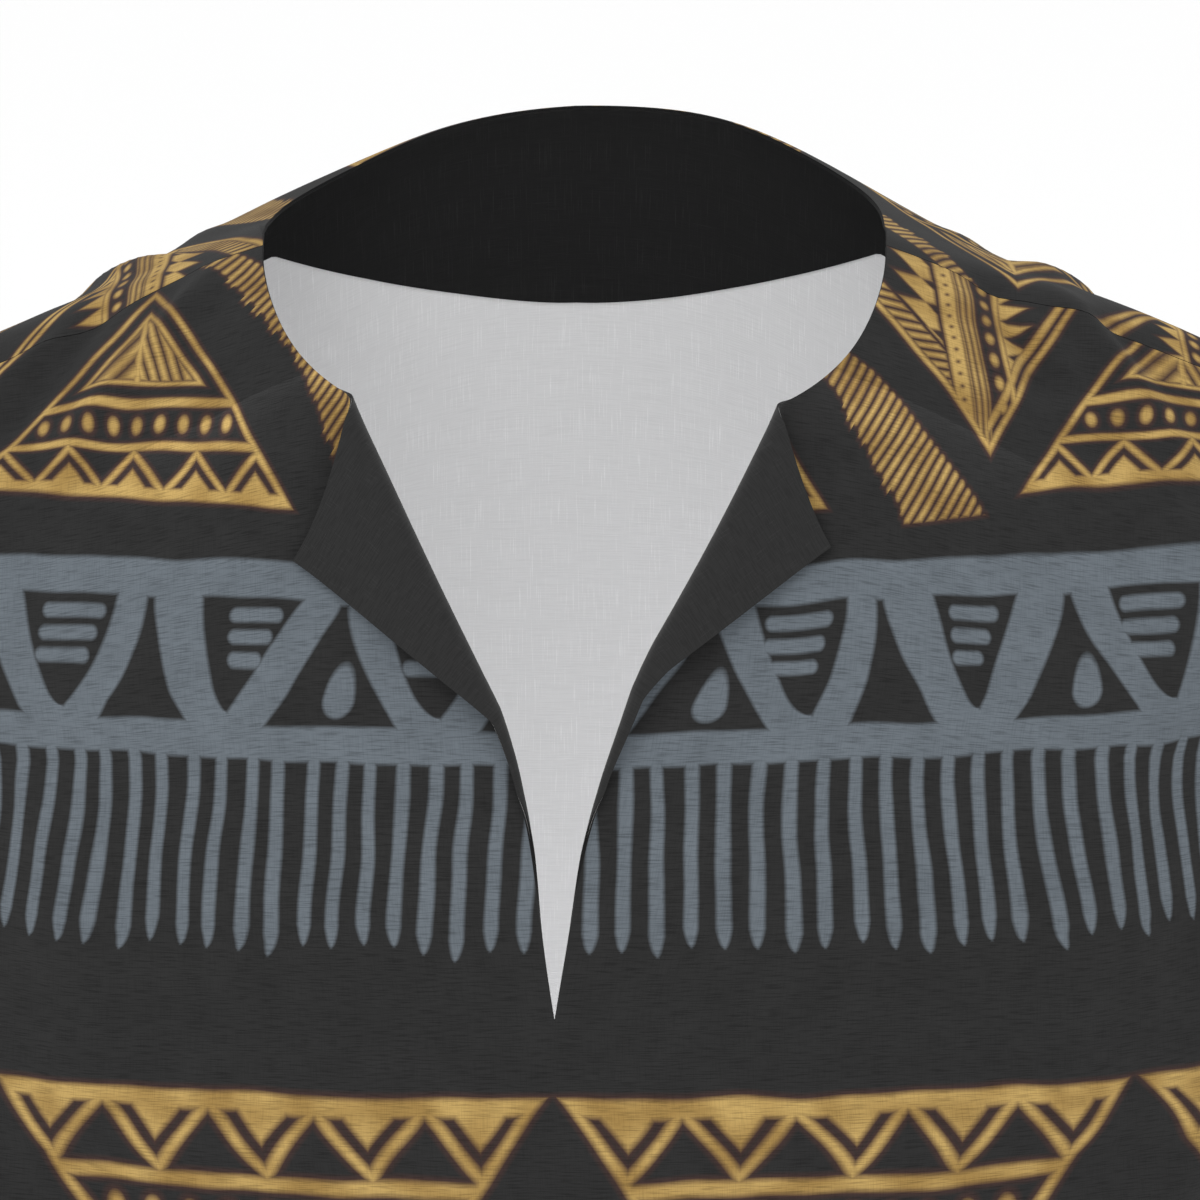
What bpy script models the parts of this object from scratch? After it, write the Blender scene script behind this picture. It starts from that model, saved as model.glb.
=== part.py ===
"""A dashiki shirt filled out as if worn: front with a slit neck, back, two short sleeves and neck facings.

Run it with: blender --background --python part.py
The front faces -Y, +Z is up, and the origin lies midway between the two side neck points.
"""

import math
from collections import namedtuple

import bpy
import numpy as np

MM = 0.001

# Cloth: a wall for each cut piece, and the gap that is kept at seams and between layers.
WALL = 1.2 * MM
FACING_WALL = 1.0 * MM
GAP = 0.3 * MM

# Neck: half width at the shoulder seams, and the slit that runs down the front from it.
NECK_HALF_WIDTH = 100 * MM
SEAM_FORWARD = 12 * MM
SEAM_FORWARD_TIP = 28 * MM
SLIT_BOTTOM_DOWN = 292 * MM
SLIT_OPENING = 18 * MM
SLIT_LEAN = -6 * MM
OPENING_REACH = 190 * MM

# Turned-out corners of the slit: the roll starts on the neckline and ends on the slit edge.
ROLL_START_OUT = 63 * MM
ROLL_END_UP = 80 * MM
ROLL_END_BLEND = 9 * MM
ROLL_RADIUS = 3.4 * MM
ROLL_RADIUS_SHARE = 0.3
CORNER_LIFT = 1.8 * MM

# Sleeve: short and straight, hanging beside the body.
SLEEVE_LENGTH = 262 * MM
SLEEVE_DROP = math.radians(47)
CUFF_HALF_DEPTH = 58 * MM
CUFF_HALF_HEIGHT = 81 * MM

# The half-moon facing: how far its lower edge lies from the shoulder line at the middle and beside the neck.
HALF_MOON_MIDDLE = 163 * MM
HALF_MOON_SIDE = 109 * MM
HALF_MOON_CORNER = 62 * MM
NAPE_SQUARENESS = 3.6

# One section is a row of the cloth from the middle of the body out to the side seam or armhole.
# Depths are measured forward on the front rows and backward on the back rows, in millimetres, from
# the middle of the body. A row is level as far out as level_to, and then slopes to its edge's height,
# straight where bow is 1 and ever more steeply where it is larger.
Section = namedtuple("Section", "name mid_depth mid_height edge_out edge_depth edge_height wrap level_to bow")
FRONT_SECTIONS = (
    Section("hem", 130, -735, 270, 0, -735, 90, 90, 1),
    Section("hip", 128, -620, 265, 0, -620, 90, 90, 1),
    Section("waist", 124, -490, 257, 0, -490, 90, 90, 1),
    Section("ribs", 125, -375, 252, 0, -375, 90, 90, 1),
    Section("chest", 126, -275, 252, 0, -275, 90, 90, 1),
    Section("underarm", 125, -240, 245, 27, -247, 85, 90, 1),
    Section("bust", 122, -196, 231, 36, -205, 80, 90, 1),
    Section("upper chest", 106, -116, 218, 47, -142, 68, 80, 1),
    Section("collarbone", 79, -45, 224, 36, -92, 52, 60, 1),
)
RIDGE = Section("shoulder ridge", 0, 24, 235, 0, -52, 35, 40, 1)
BACK_SECTIONS = (
    Section("nape", 84, 26, 229, 34, -86, 52, 48, 1.12),
    Section("upper back", 108, -62, 226, 50, -142, 64, 40, 1),
    Section("shoulder blade", 117, -165, 238, 42, -205, 80, 90, 1),
    Section("back underarm", 113, -240, 245, 27, -247, 85, 90, 1),
    Section("back chest", 112, -275, 252, 0, -275, 90, 90, 1),
    Section("back ribs", 103, -375, 252, 0, -375, 90, 90, 1),
    Section("back waist", 98, -490, 257, 0, -490, 90, 90, 1),
    Section("seat", 112, -620, 265, 0, -620, 90, 90, 1),
    Section("back hem", 116, -735, 270, 0, -735, 90, 90, 1),
)
CHEST_ROW = 4
RIDGE_ROW = len(FRONT_SECTIONS)
NAPE_ROW = RIDGE_ROW + 1
BACK_CHEST_ROW = RIDGE_ROW + 5
LAST_ROW = RIDGE_ROW + len(BACK_SECTIONS)
SQUARENESS = 2.35
SLOPE_BLEND = 28
ORIGIN_DEPTH = -11
ORIGIN_HEIGHT = -1.5

# A crease is a soft ridge (or a trough, where it is negative) between two points of the cloth.
# Out is measured from the middle, minus on the left of the view. Over is measured from the shoulder
# line along the cloth, minus on the front. All are in millimetres.
Crease = namedtuple("Crease", "out_1 over_1 out_2 over_2 half_width height")
CREASES = (
    Crease(-112, -10, -172, -90, 9, 4.5),
    Crease(-150, -4, -200, -84, 8, -3.5),
    Crease(-192, -66, -214, -160, 13, 4.0),
    Crease(-172, -190, -150, -340, 17, 3.5),
    Crease(-230, -330, -120, -430, 15, 6.0),
    Crease(-245, -430, -150, -560, 18, 6.0),
    Crease(134, -2, 160, -74, 8, -4.0),
    Crease(156, 4, 204, -90, 9, 4.5),
    Crease(192, -70, 212, -170, 12, 4.0),
    Crease(176, -180, 158, -330, 16, 4.0),
    Crease(236, -330, 140, -410, 14, 6.0),
    Crease(248, -420, 170, -550, 18, 6.5),
    Crease(-138, 8, -180, 80, 9, 4.0),
    Crease(-205, 120, -160, 270, 15, 5.5),
    Crease(-240, 340, -130, 460, 17, 6.5),
    Crease(-60, 390, -170, 480, 16, 5.0),
    Crease(150, 10, 192, 76, 9, 4.0),
    Crease(200, 130, 170, 290, 15, 5.0),
    Crease(245, 330, 120, 440, 17, 6.5),
    Crease(50, 410, 180, 510, 16, 5.0),
)
# Waves that the hanging cloth makes round the body, growing towards the hem.
Wave = namedtuple("Wave", "count turn height")
WAVES = (Wave(5, 0.4, 3.5), Wave(8, 1.9, 3.0), Wave(11, 0.7, 1.8))
WAVE_TOP = -300
WAVE_BOTTOM = -735


# Uneven shoulders: how far the cloth stands above or below an even form, over a soft round place
# that fades out before a line across the shoulders.
Mound = namedtuple("Mound", "out over out_reach over_reach height fades_at")
MOUNDS = (Mound(-66, 55, 45, 50, -7.5, 0),)


def smooth(x):
    """Rises from 0 to 1 with level ends."""
    x = np.clip(x, 0, 1)
    return x * x * (3 - 2 * x)


def hinge(out, level_to):
    """Level near the middle, then a straight slope: the shape of a shoulder line, in millimetres."""
    beyond = out - level_to
    return (np.sqrt(beyond**2 + SLOPE_BLEND**2) + beyond) / 2


class Row:
    """One section as a curve, read by its share of the way from the middle to the edge."""

    def __init__(self, section, forward):
        wrap = math.radians(section.wrap)
        angle = np.linspace(0, wrap, 400)
        side = np.sin(angle) ** (2 / SQUARENESS) / math.sin(wrap) ** (2 / SQUARENESS)
        level = np.cos(angle).clip(0) ** (2 / SQUARENESS)
        last = max(math.cos(wrap), 0) ** (2 / SQUARENESS)
        depth = section.edge_depth + (section.mid_depth - section.edge_depth) * (level - last) / (1 - last)
        out = section.edge_out * side
        inner, outer = hinge(0, section.level_to), hinge(section.edge_out, section.level_to)
        fall = ((hinge(out, section.level_to) - inner) / (outer - inner)).clip(0) ** section.bow
        height = section.mid_height + (section.edge_height - section.mid_height) * fall
        points = np.stack([out, -forward * depth - ORIGIN_DEPTH, height - ORIGIN_HEIGHT], 1) * MM
        steps = np.linalg.norm(np.diff(points, axis=0), axis=1)
        arc = np.concatenate([[0], np.cumsum(steps)])
        self.length = arc[-1]
        self.shares = arc / arc[-1]
        self.points = points

    def at(self, share):
        return np.stack([np.interp(share, self.shares, self.points[:, k]) for k in range(3)], -1)


ROWS = [Row(section, 1) for section in FRONT_SECTIONS]
ROWS.append(Row(RIDGE, 1))
ROWS += [Row(section, -1) for section in BACK_SECTIONS]
KNOTS = np.array([row.at(np.array(0.5)) for row in ROWS])
KNOTS = np.concatenate([[0], np.cumsum(np.linalg.norm(np.diff(KNOTS, axis=0), axis=1))])


def plain(share, row):
    """The uncreased cloth of the right half. Row runs from the front hem over the ridge to the back hem."""
    share, row = np.broadcast_arrays(np.asarray(share, float), np.asarray(row, float))
    ladder = np.stack([r.at(share) for r in ROWS])
    tall = KNOTS.reshape((-1,) + (1,) * (ladder.ndim - 1))
    slopes = np.empty_like(ladder)
    rise = np.diff(ladder, axis=0) / np.diff(tall, axis=0)
    same_way = rise[:-1] * rise[1:] > 0
    total = np.where(same_way, rise[:-1] + rise[1:], 1)
    slopes[1:-1] = np.where(same_way, 2 * rise[:-1] * rise[1:] / total, 0)
    slopes[0], slopes[-1] = rise[0], rise[-1]
    low = np.clip(np.floor(row).astype(int), 0, LAST_ROW - 1)
    part = (row - low)[..., None]
    span = (KNOTS[low + 1] - KNOTS[low])[..., None]
    take = (low,) + tuple(np.indices(low.shape))
    upper = (low + 1,) + tuple(np.indices(low.shape))
    square, cube = part**2, part**3
    return (
        ladder[take] * (2 * cube - 3 * square + 1)
        + slopes[take] * span * (cube - 2 * square + part)
        + ladder[upper] * (3 * square - 2 * cube)
        + slopes[upper] * span * (cube - square)
    )


# Cloth lengths along the middle, measured from the ridge, and the half width of each row.
FINE_ROWS = np.linspace(0, LAST_ROW, 1601)
MIDDLE = plain(np.zeros_like(FINE_ROWS), FINE_ROWS)
MIDDLE_ARC = np.concatenate([[0], np.cumsum(np.linalg.norm(np.diff(MIDDLE, axis=0), axis=1))])
MIDDLE_ARC = MIDDLE_ARC - np.interp(RIDGE_ROW, FINE_ROWS, MIDDLE_ARC)
ROW_LENGTHS = np.array([row.length for row in ROWS])


def down_of(row):
    """Cloth length from the ridge, negative on the front."""
    return np.interp(row, FINE_ROWS, MIDDLE_ARC)


def row_of(down):
    return np.interp(down, MIDDLE_ARC, FINE_ROWS)


def width_of(row):
    return np.interp(row, np.arange(LAST_ROW + 1), ROW_LENGTHS)


def crease_height(side, share, row):
    """How far the creases lift the cloth from its plain form."""
    out = side * share * width_of(row)
    over = down_of(row)
    total = np.zeros(np.broadcast(out, over).shape)
    for crease in CREASES:
        start = np.array([crease.out_1, crease.over_1]) * MM
        run = np.array([crease.out_2, crease.over_2]) * MM - start
        length = np.linalg.norm(run)
        run = run / length
        along = (out - start[0]) * run[0] + (over - start[1]) * run[1]
        across = (out - start[0]) * run[1] - (over - start[1]) * run[0]
        ends = smooth(along / (0.4 * length) + 0.2) * smooth((length - along) / (0.4 * length) + 0.2)
        total += crease.height * MM * ends * np.exp(-((across / (crease.half_width * MM)) ** 2))
    return total


def wave_height(side, share, row):
    """The waves of the hanging cloth, which run on across the side seams."""
    height = plain(share, row)[..., 2] / MM
    grow = smooth((WAVE_TOP - height) / (WAVE_TOP - WAVE_BOTTOM))
    turn = np.where(row < RIDGE_ROW, share * 90, 180 - share * 90) * side
    total = sum(w.height * np.cos(np.radians(w.count * turn) + w.turn) for w in WAVES)
    return total * grow * MM


def normals(surface, side, share, row):
    """Unit vectors that point out of the garment."""
    step = 0.002
    across = surface(side, np.clip(share + step, 0, 1), row) - surface(side, np.clip(share - step, 0, 1), row)
    along = surface(side, share, np.clip(row + step, 0, LAST_ROW))
    along = along - surface(side, share, np.clip(row - step, 0, LAST_ROW))
    out = np.cross(across, along) * np.asarray(side)[..., None]
    return out / np.linalg.norm(out, axis=-1, keepdims=True)


def mirrored(side, share, row):
    points = plain(share, row)
    points[..., 0] *= side
    out, over = side * share * width_of(row) / MM, down_of(row) / MM
    for m in MOUNDS:
        place = ((out - m.out) / m.out_reach) ** 2 + ((over - m.over) / m.over_reach) ** 2
        points[..., 2] += m.height * MM * np.exp(-place) * smooth((over - m.fades_at) / 40)
    return points


def draped(side, share, row):
    """The cloth with its creases and waves, and with the slit drawn open at its top."""
    points = mirrored(side, share, row)
    lift = crease_height(side, share, row) + wave_height(side, share, row)
    points = points + normals(mirrored, side, share, row) * lift[..., None]
    down = down_of(row)
    up_slit = np.clip((down + SLIT_BOTTOM_DOWN) / (SLIT_BOTTOM_DOWN - NECK_DROP), 0, 1.6)
    reach = smooth(1 - share * width_of(row) / OPENING_REACH)
    open_by = SLIT_OPENING * np.sin(np.minimum(up_slit, 1) * math.pi / 2) * reach
    fade = np.where(down < 0, smooth(-down / NECK_DROP), 0)
    lean = SLIT_LEAN * smooth(1 - abs(down + SLIT_BOTTOM_DOWN) / OPENING_REACH) * reach
    points[..., 0] += side * open_by * fade + lean
    return points


NECK_DROP = -float(down_of(RIDGE_ROW - 1))
NECK_SHARE = float(np.interp(NECK_HALF_WIDTH, ROWS[RIDGE_ROW].points[:, 0], ROWS[RIDGE_ROW].shares))
SEAM_ROW = float(row_of(-SEAM_FORWARD))
SLIT_ROW = float(row_of(-SLIT_BOTTOM_DOWN))
SEAM_STEP = GAP / 2 / (KNOTS[RIDGE_ROW] - KNOTS[RIDGE_ROW - 1])


def seam_row(share):
    """The shoulder seam's row, which comes forward towards the shoulder's tip."""
    forward = SEAM_FORWARD + (SEAM_FORWARD_TIP - SEAM_FORWARD) * smooth((share - NECK_SHARE) / 0.45)
    return row_of(-forward)


def neckline(angle):
    """Share and row on the front neckline, from the slit (angle 0) to the shoulder seam (a quarter turn)."""
    share = NECK_SHARE * np.sin(angle)
    row = (RIDGE_ROW - 1) + (SEAM_ROW - RIDGE_ROW + 1) * (1 - np.cos(angle))
    return share, row


def roll_ends():
    """The fold of a turned-out corner, as two points of the flat cloth: out from the slit, and down."""
    angle = math.asin(ROLL_START_OUT / NECK_HALF_WIDTH)
    share, row = neckline(angle)
    start = np.array([share * width_of(row), down_of(row)])
    end = np.array([0.0, -SLIT_BOTTOM_DOWN + ROLL_END_UP])
    return start, end


ROLL_START, ROLL_END = roll_ends()


def fold_out(down):
    """How far the fold lies from the slit edge: a straight line that eases into the edge low down."""
    line = ROLL_START[0] * (down - ROLL_END[1]) / (ROLL_START[1] - ROLL_END[1])
    eased = (np.sqrt(line**2 + ROLL_END_BLEND**2) + line) / 2
    return eased * smooth((down + SLIT_BOTTOM_DOWN) / (0.8 * ROLL_END_UP))


def fold_frame(down):
    """The fold's distance out, the length of a step square to it, its radius, and how far the edge is past it."""
    out = fold_out(down)
    slope = (fold_out(down + 0.001) - fold_out(down - 0.001)) / 0.002
    square = np.sqrt(1 + slope**2)
    radius = np.clip(out * ROLL_RADIUS_SHARE, 0.0009, ROLL_RADIUS)
    return out, slope, square, radius


def fronted(side, share, row):
    """The front panel's outer side, with the corners of its slit rolled out and laid on the chest."""
    side, share, row = np.broadcast_arrays(side, share, row)
    flat_out, flat_down = share * width_of(row), down_of(row)
    out, slope, square, radius = fold_frame(flat_down)
    past = (out - flat_out) / square
    rolled = (past > 0) & (flat_down > -SLIT_BOTTOM_DOWN) & (flat_down < 0)
    turn = np.clip(past / radius, 0, math.pi)
    beyond = np.maximum(past - math.pi * radius, 0)
    shift = np.where(rolled, radius * np.sin(turn) - beyond - past, 0)
    spot_out = flat_out - shift / square
    spot_row = np.where(rolled, row_of(flat_down + shift * slope / square), row)
    spot_share = np.where(rolled, np.clip(spot_out / width_of(spot_row), 0, 1), share)
    lift = radius * (1 - np.cos(turn))
    lift = lift - (2 * radius - CORNER_LIFT) * smooth(beyond / (9 * radius))
    points = draped(side, spot_share, spot_row)
    out = normals(draped, side, spot_share, spot_row)
    points[..., 0] += side * np.where(rolled, np.minimum(spot_out, 0), 0)
    return points + out * np.where(rolled, lift, 0)[..., None]


def new_material(name, colour, roughness):
    material = bpy.data.materials.new(name)
    material.use_nodes = True
    shader = material.node_tree.nodes["Principled BSDF"]
    shader.inputs["Base Color"].default_value = (*colour, 1)
    shader.inputs["Roughness"].default_value = roughness
    shader.inputs["Metallic"].default_value = 0
    return material


def add_wall(name, outer, inner, quads, material):
    """One closed wall between an outer and an inner sheet of the same points, rimmed along its open edges."""
    count = len(outer)
    faces = [t for q in quads for t in ((q[0], q[1], q[2]), (q[0], q[2], q[3]))]
    faces += [tuple(i + count for i in reversed(t)) for t in faces]
    directed = {(q[k], q[(k + 1) % 4]) for q in quads for k in range(4)}
    for a, b in sorted(directed):
        if (b, a) not in directed:
            faces.append((b, a, a + count, b + count))
    mesh = bpy.data.meshes.new(name)
    mesh.from_pydata(np.concatenate([outer, inner]).tolist(), [], faces)
    mesh.update()
    mesh.shade_smooth()
    mesh.set_sharp_from_angle(angle=math.radians(50))
    mesh.materials.append(material)
    cloth = bpy.data.objects.new(name, mesh)
    bpy.context.scene.collection.objects.link(cloth)
    return cloth


def offset_walls(surface, side, share, row, near, far):
    """The surface moved in by near and by far, for the two sheets of a wall."""
    base = surface(side, share, row)
    out = normals(surface, side, share, row)
    return base - out * near, base - out * far


def grid_quads(rows, columns, flip):
    """Faces over a grid of points that are numbered row by row."""
    quads = []
    for i in range(rows - 1):
        for j in range(columns - 1):
            a = i * columns + j
            quad = (a, a + 1, a + columns + 1, a + columns)
            quads.append((a, *quad[:0:-1]) if flip else quad)
    return quads


# Front grid: the columns run from the slit over the turned-out corner, along the neck and the shoulder.
FLAP_STEPS = (1, 0.72, 0.45, 0.2)
ROLL_STEPS = 5
CHEST_STEPS = 6
SHOULDER_STEPS = 7
ARM_ROWS = 4
BODY_ROWS = 14
SLIT_ROWS = 18
LOW_FLAP_OUT = 16 * MM
LOW_NECK_OUT = 92 * MM
COLUMN_LEAD_OUT = 0.16
COLUMN_LEAD_DOWN = 0.9
FLAP_COLUMNS = len(FLAP_STEPS) + ROLL_STEPS
SHIELD_COLUMNS = FLAP_COLUMNS + 3
SHIELD_TOP_COLUMNS = FLAP_COLUMNS + CHEST_STEPS + 3
SHIELD_TOP_ROWS = 4


def past_fold(down, edge):
    """Distances past the fold of the flap's columns, from the slit edge to the fold."""
    radius = fold_frame(down)[3]
    roll = np.minimum(math.pi * radius, 0.8 * edge)
    flap = [roll + (edge - roll) * step for step in FLAP_STEPS]
    return flap + [roll * (1 - k / ROLL_STEPS) for k in range(ROLL_STEPS + 1)]


def flap_tops():
    """Neckline angles of the flap's columns, where they are the wanted distances past the fold."""
    angles = np.linspace(0, math.asin(ROLL_START_OUT / NECK_HALF_WIDTH) * 1.1, 400)
    share, row = neckline(angles)
    out, slope, square, radius = fold_frame(down_of(row))
    past = (out - share * width_of(row)) / square
    wanted = past_fold(ROLL_START[1], past[0])
    return np.interp(wanted, past[::-1], angles[::-1])


def flap_lines(tops, t):
    """Share and row of the flap's columns at the shares t of the way up the slit."""
    top_row = neckline(tops)[1]
    row = SLIT_ROW + (top_row - SLIT_ROW) * t
    down = down_of(row)
    out, slope, square, radius = fold_frame(down)
    edge = out / square
    past = np.stack([past_fold(down[:, k], edge[:, 0])[k] for k in range(len(tops))], 1)
    low = LOW_FLAP_OUT * np.arange(len(tops)) / (len(tops) - 1)
    spread = low * smooth((ROLL_END[1] + 0.02 - down) / (ROLL_END_UP + 0.02))
    along = out - past * square + spread
    along[:, 0] = 0
    share = along / width_of(row)
    share[-1] = neckline(tops)[0]
    return share, row


def front_columns(roll_angle):
    """Top and bottom ends of the other columns of one half, and how much each leaves the neckline squarely."""
    angles = np.linspace(roll_angle, math.pi / 2, CHEST_STEPS + 1)[1:]
    top_share, top_row = neckline(angles)
    shoulder = np.linspace(NECK_SHARE, 1, SHOULDER_STEPS + 1)[1:]
    top_share = np.concatenate([top_share, shoulder])
    top_row = np.concatenate([top_row, seam_row(shoulder)])
    top_row = np.minimum(top_row, seam_row(top_share) - SEAM_STEP)
    low_neck = np.linspace(LOW_FLAP_OUT, LOW_NECK_OUT, CHEST_STEPS + 1)[1:]
    low_width = float(width_of(SLIT_ROW))
    low_side = np.linspace(LOW_NECK_OUT, low_width, SHOULDER_STEPS + 1)[1:]
    low_share = np.concatenate([low_neck, low_side]) / low_width
    lead = np.sin(np.concatenate([angles, np.full(SHOULDER_STEPS, math.pi / 2)])) ** 2
    lead = lead * np.minimum(1, (1 - top_share) / (1 - NECK_SHARE))
    return low_share, top_share, top_row, lead


def front_grid():
    """Share and row of each point of one half: level rows below the slit, then rows that rise to the top."""
    tops = flap_tops()
    t = (np.arange(1, SLIT_ROWS + 1) / SLIT_ROWS)[:, None]
    flap_share, flap_row = flap_lines(tops, t)
    low_share, top_share, top_row, lead = front_columns(tops[-1])
    low, bend, high = (1 - t) ** 2, 2 * t * (1 - t), t**2
    bend_share = (low_share + top_share) / 2 * (1 - lead) + (top_share + COLUMN_LEAD_OUT) * lead
    bend_row = (SLIT_ROW + top_row) / 2 * (1 - lead) + (top_row - COLUMN_LEAD_DOWN) * lead
    slit_share = np.concatenate([flap_share, low_share * low + bend_share * bend + top_share * high], 1)
    slit_row = np.concatenate([flap_row, SLIT_ROW * low + bend_row * bend + top_row * high], 1)
    low_flap = np.linspace(0, LOW_FLAP_OUT, len(tops)) / float(width_of(SLIT_ROW))
    body_share = np.concatenate([low_flap, low_share])
    below = np.linspace(0, CHEST_ROW, BODY_ROWS - ARM_ROWS + 1)
    body = np.concatenate([below, np.linspace(CHEST_ROW, SLIT_ROW, ARM_ROWS + 1)[1:]])
    share = np.concatenate([np.tile(body_share, (len(body), 1)), slit_share])
    row = np.concatenate([np.tile(body[:, None], (1, len(body_share))), slit_row])
    share[:, -1] = 1
    return trim_seams(share, row, float(width_of(CHEST_ROW)))


def trim_seams(share, row, width):
    """Holds the cut edges back by half a seam gap."""
    share = np.minimum(share, 1 - GAP / 2 / width)
    return share, row


def build_front(material, facing_material):
    """The front panel, and the shield facing that backs its slit and neckline."""
    share, row = front_grid()
    rows, columns = share.shape
    left = (np.full(share.shape, -1), share, row)
    right = (np.full(share.shape, 1), share, row)
    side, share, row = (np.concatenate([a.ravel(), b.ravel()]) for a, b in zip(left, right))
    half = rows * columns
    quads = [q for q in grid_quads(rows, columns, True)]
    quads += [tuple(i + half for i in q) for q in grid_quads(rows, columns, False)]
    middle = {half + i * columns: i * columns for i in range(BODY_ROWS + 1)}
    quads = [tuple(middle.get(i, i) for i in q) for q in quads]
    outer, inner = offset_walls(fronted, side, share, row, 0, WALL)
    outer, inner, front_quads = used_points(outer, inner, quads)
    add_wall("front", outer, inner, front_quads, material)

    shield = [q for q in quads if shield_quad(q, half, columns)]
    near = WALL + GAP
    outer, inner = offset_walls(fronted, side, share, row, near, near + FACING_WALL)
    outer, inner, shield = used_points(outer, inner, shield)
    add_wall("front_facing", outer, inner, shield, facing_material)


def shield_quad(quad, half, columns):
    """True for the faces of the front that the shield facing backs: a strip beside the slit and the neck."""
    spots = [divmod(i % half, columns) for i in quad]
    beside_slit = all(i >= BODY_ROWS - 1 and j <= SHIELD_COLUMNS for i, j in spots)
    top = BODY_ROWS + SLIT_ROWS - SHIELD_TOP_ROWS
    return beside_slit or all(i >= top and j <= SHIELD_TOP_COLUMNS for i, j in spots)


def used_points(outer, inner, quads):
    """Drops the points that no face uses."""
    used = sorted({i for q in quads for i in q})
    number = {old: new for new, old in enumerate(used)}
    return outer[used], inner[used], [tuple(number[i] for i in q) for q in quads]


BACK_NECK_STEPS = 9
BACK_SHOULDER_STEPS = 7
HALF_MOON_ROWS = 7
HALF_MOON_SHOULDER_STEPS = 3
BACK_MIDDLE_ROWS = 3
BACK_ARM_ROWS = 6
BACK_LOW_ROWS = 9
BACK_SPLIT_ROW = NAPE_ROW + 1.75
BACK_NECK_COLUMN_OUT = 128 * MM


def back_neckline(angle):
    """Share and row on the back neckline, from the middle of the nape to the shoulder seam."""
    share = NECK_SHARE * np.sin(angle) ** (2 / NAPE_SQUARENESS)
    row = NAPE_ROW + (SEAM_ROW - NAPE_ROW) * (1 - np.cos(angle).clip(0) ** (2 / NAPE_SQUARENESS))
    return share, row


def half_moon_edge(share):
    """How far the half-moon's lower edge lies from the shoulder line, for a column's share at the top."""
    beside = np.clip(share / NECK_SHARE, 0, 1)
    inner = HALF_MOON_MIDDLE + (HALF_MOON_SIDE - HALF_MOON_MIDDLE) * beside**2
    corner = smooth((share - NECK_SHARE) / (1 - NECK_SHARE) * 2)
    return inner + (HALF_MOON_CORNER - inner) * corner


def back_grid():
    """Share and row of the whole back from the top down. The half-moon's lower edge is one of its rows."""
    angles = np.linspace(0, math.pi / 2, BACK_NECK_STEPS + 1)
    top_share, top_row = back_neckline(angles)
    shoulder = np.linspace(NECK_SHARE, 1, BACK_SHOULDER_STEPS + 1)[1:]
    top_share = np.concatenate([top_share, shoulder])
    top_row = np.maximum(np.concatenate([top_row, seam_row(shoulder)]), seam_row(top_share) + SEAM_STEP)
    moon_row = row_of(half_moon_edge(top_share))

    width = float(width_of(BACK_SPLIT_ROW))
    low_share = np.linspace(0, BACK_NECK_COLUMN_OUT, BACK_NECK_STEPS + 1)
    low_share = np.concatenate([low_share, np.linspace(BACK_NECK_COLUMN_OUT, width, BACK_SHOULDER_STEPS + 1)[1:]])
    low_share = low_share / width

    moon_fall = (np.arange(HALF_MOON_ROWS) / HALF_MOON_ROWS)[:, None]
    middle_fall = (np.arange(BACK_MIDDLE_ROWS) / BACK_MIDDLE_ROWS)[:, None]
    low_rows = np.linspace(BACK_SPLIT_ROW, BACK_CHEST_ROW, BACK_ARM_ROWS + 1)[:-1]
    low_rows = np.concatenate([low_rows, np.linspace(BACK_CHEST_ROW, LAST_ROW, BACK_LOW_ROWS + 1)])
    moon_rows = top_row + (moon_row - top_row) * moon_fall
    middle_rows = moon_row + (BACK_SPLIT_ROW - moon_row) * middle_fall
    row = np.concatenate([moon_rows, middle_rows, np.tile(low_rows[:, None], (1, len(low_share)))])
    fall = np.clip((row - top_row) / (BACK_SPLIT_ROW - top_row), 0, 1)
    share = top_share + (low_share - top_share) * fall
    share, row = trim_seams(share, row, float(width_of(CHEST_ROW)))
    side = np.concatenate([np.full_like(share[:, :0:-1], -1), np.ones_like(share)], 1)
    share = np.concatenate([share[:, :0:-1], share], 1)
    row = np.concatenate([row[:, :0:-1], row], 1)
    return side, share, row


def build_back(material, facing_material):
    """The back panel, and the half-moon facing inside its neck from one shoulder seam to the other."""
    side, share, row = back_grid()
    outer, inner = offset_walls(draped, side, share, row, 0, WALL)
    quads = grid_quads(*share.shape, False)
    add_wall("back", outer.reshape(-1, 3), inner.reshape(-1, 3), quads, material)

    first = BACK_SHOULDER_STEPS - HALF_MOON_SHOULDER_STEPS
    moon = (slice(0, HALF_MOON_ROWS + 1), slice(first, share.shape[1] - first))
    near = WALL + GAP
    outer, inner = offset_walls(draped, side[moon], share[moon], row[moon], near, near + FACING_WALL)
    quads = grid_quads(*share[moon].shape, False)
    add_wall("back_facing", outer.reshape(-1, 3), inner.reshape(-1, 3), quads, facing_material)


SLEEVE_RINGS = 9
SLEEVE_FOLD = 4.5 * MM
SLEEVE_FOLD_COUNT = 3


def armhole_rows():
    """Rows at which the armhole's edge has points, from the armpit up the front and down the back."""
    front = front_grid()[1][:, -1]
    back = back_grid()[2][:, -1]
    rows = np.concatenate([front[front >= CHEST_ROW - 1e-9][:-1], [seam_row(1.0)], back[1:]])
    return rows[rows < BACK_CHEST_ROW - 1e-9]


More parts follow.
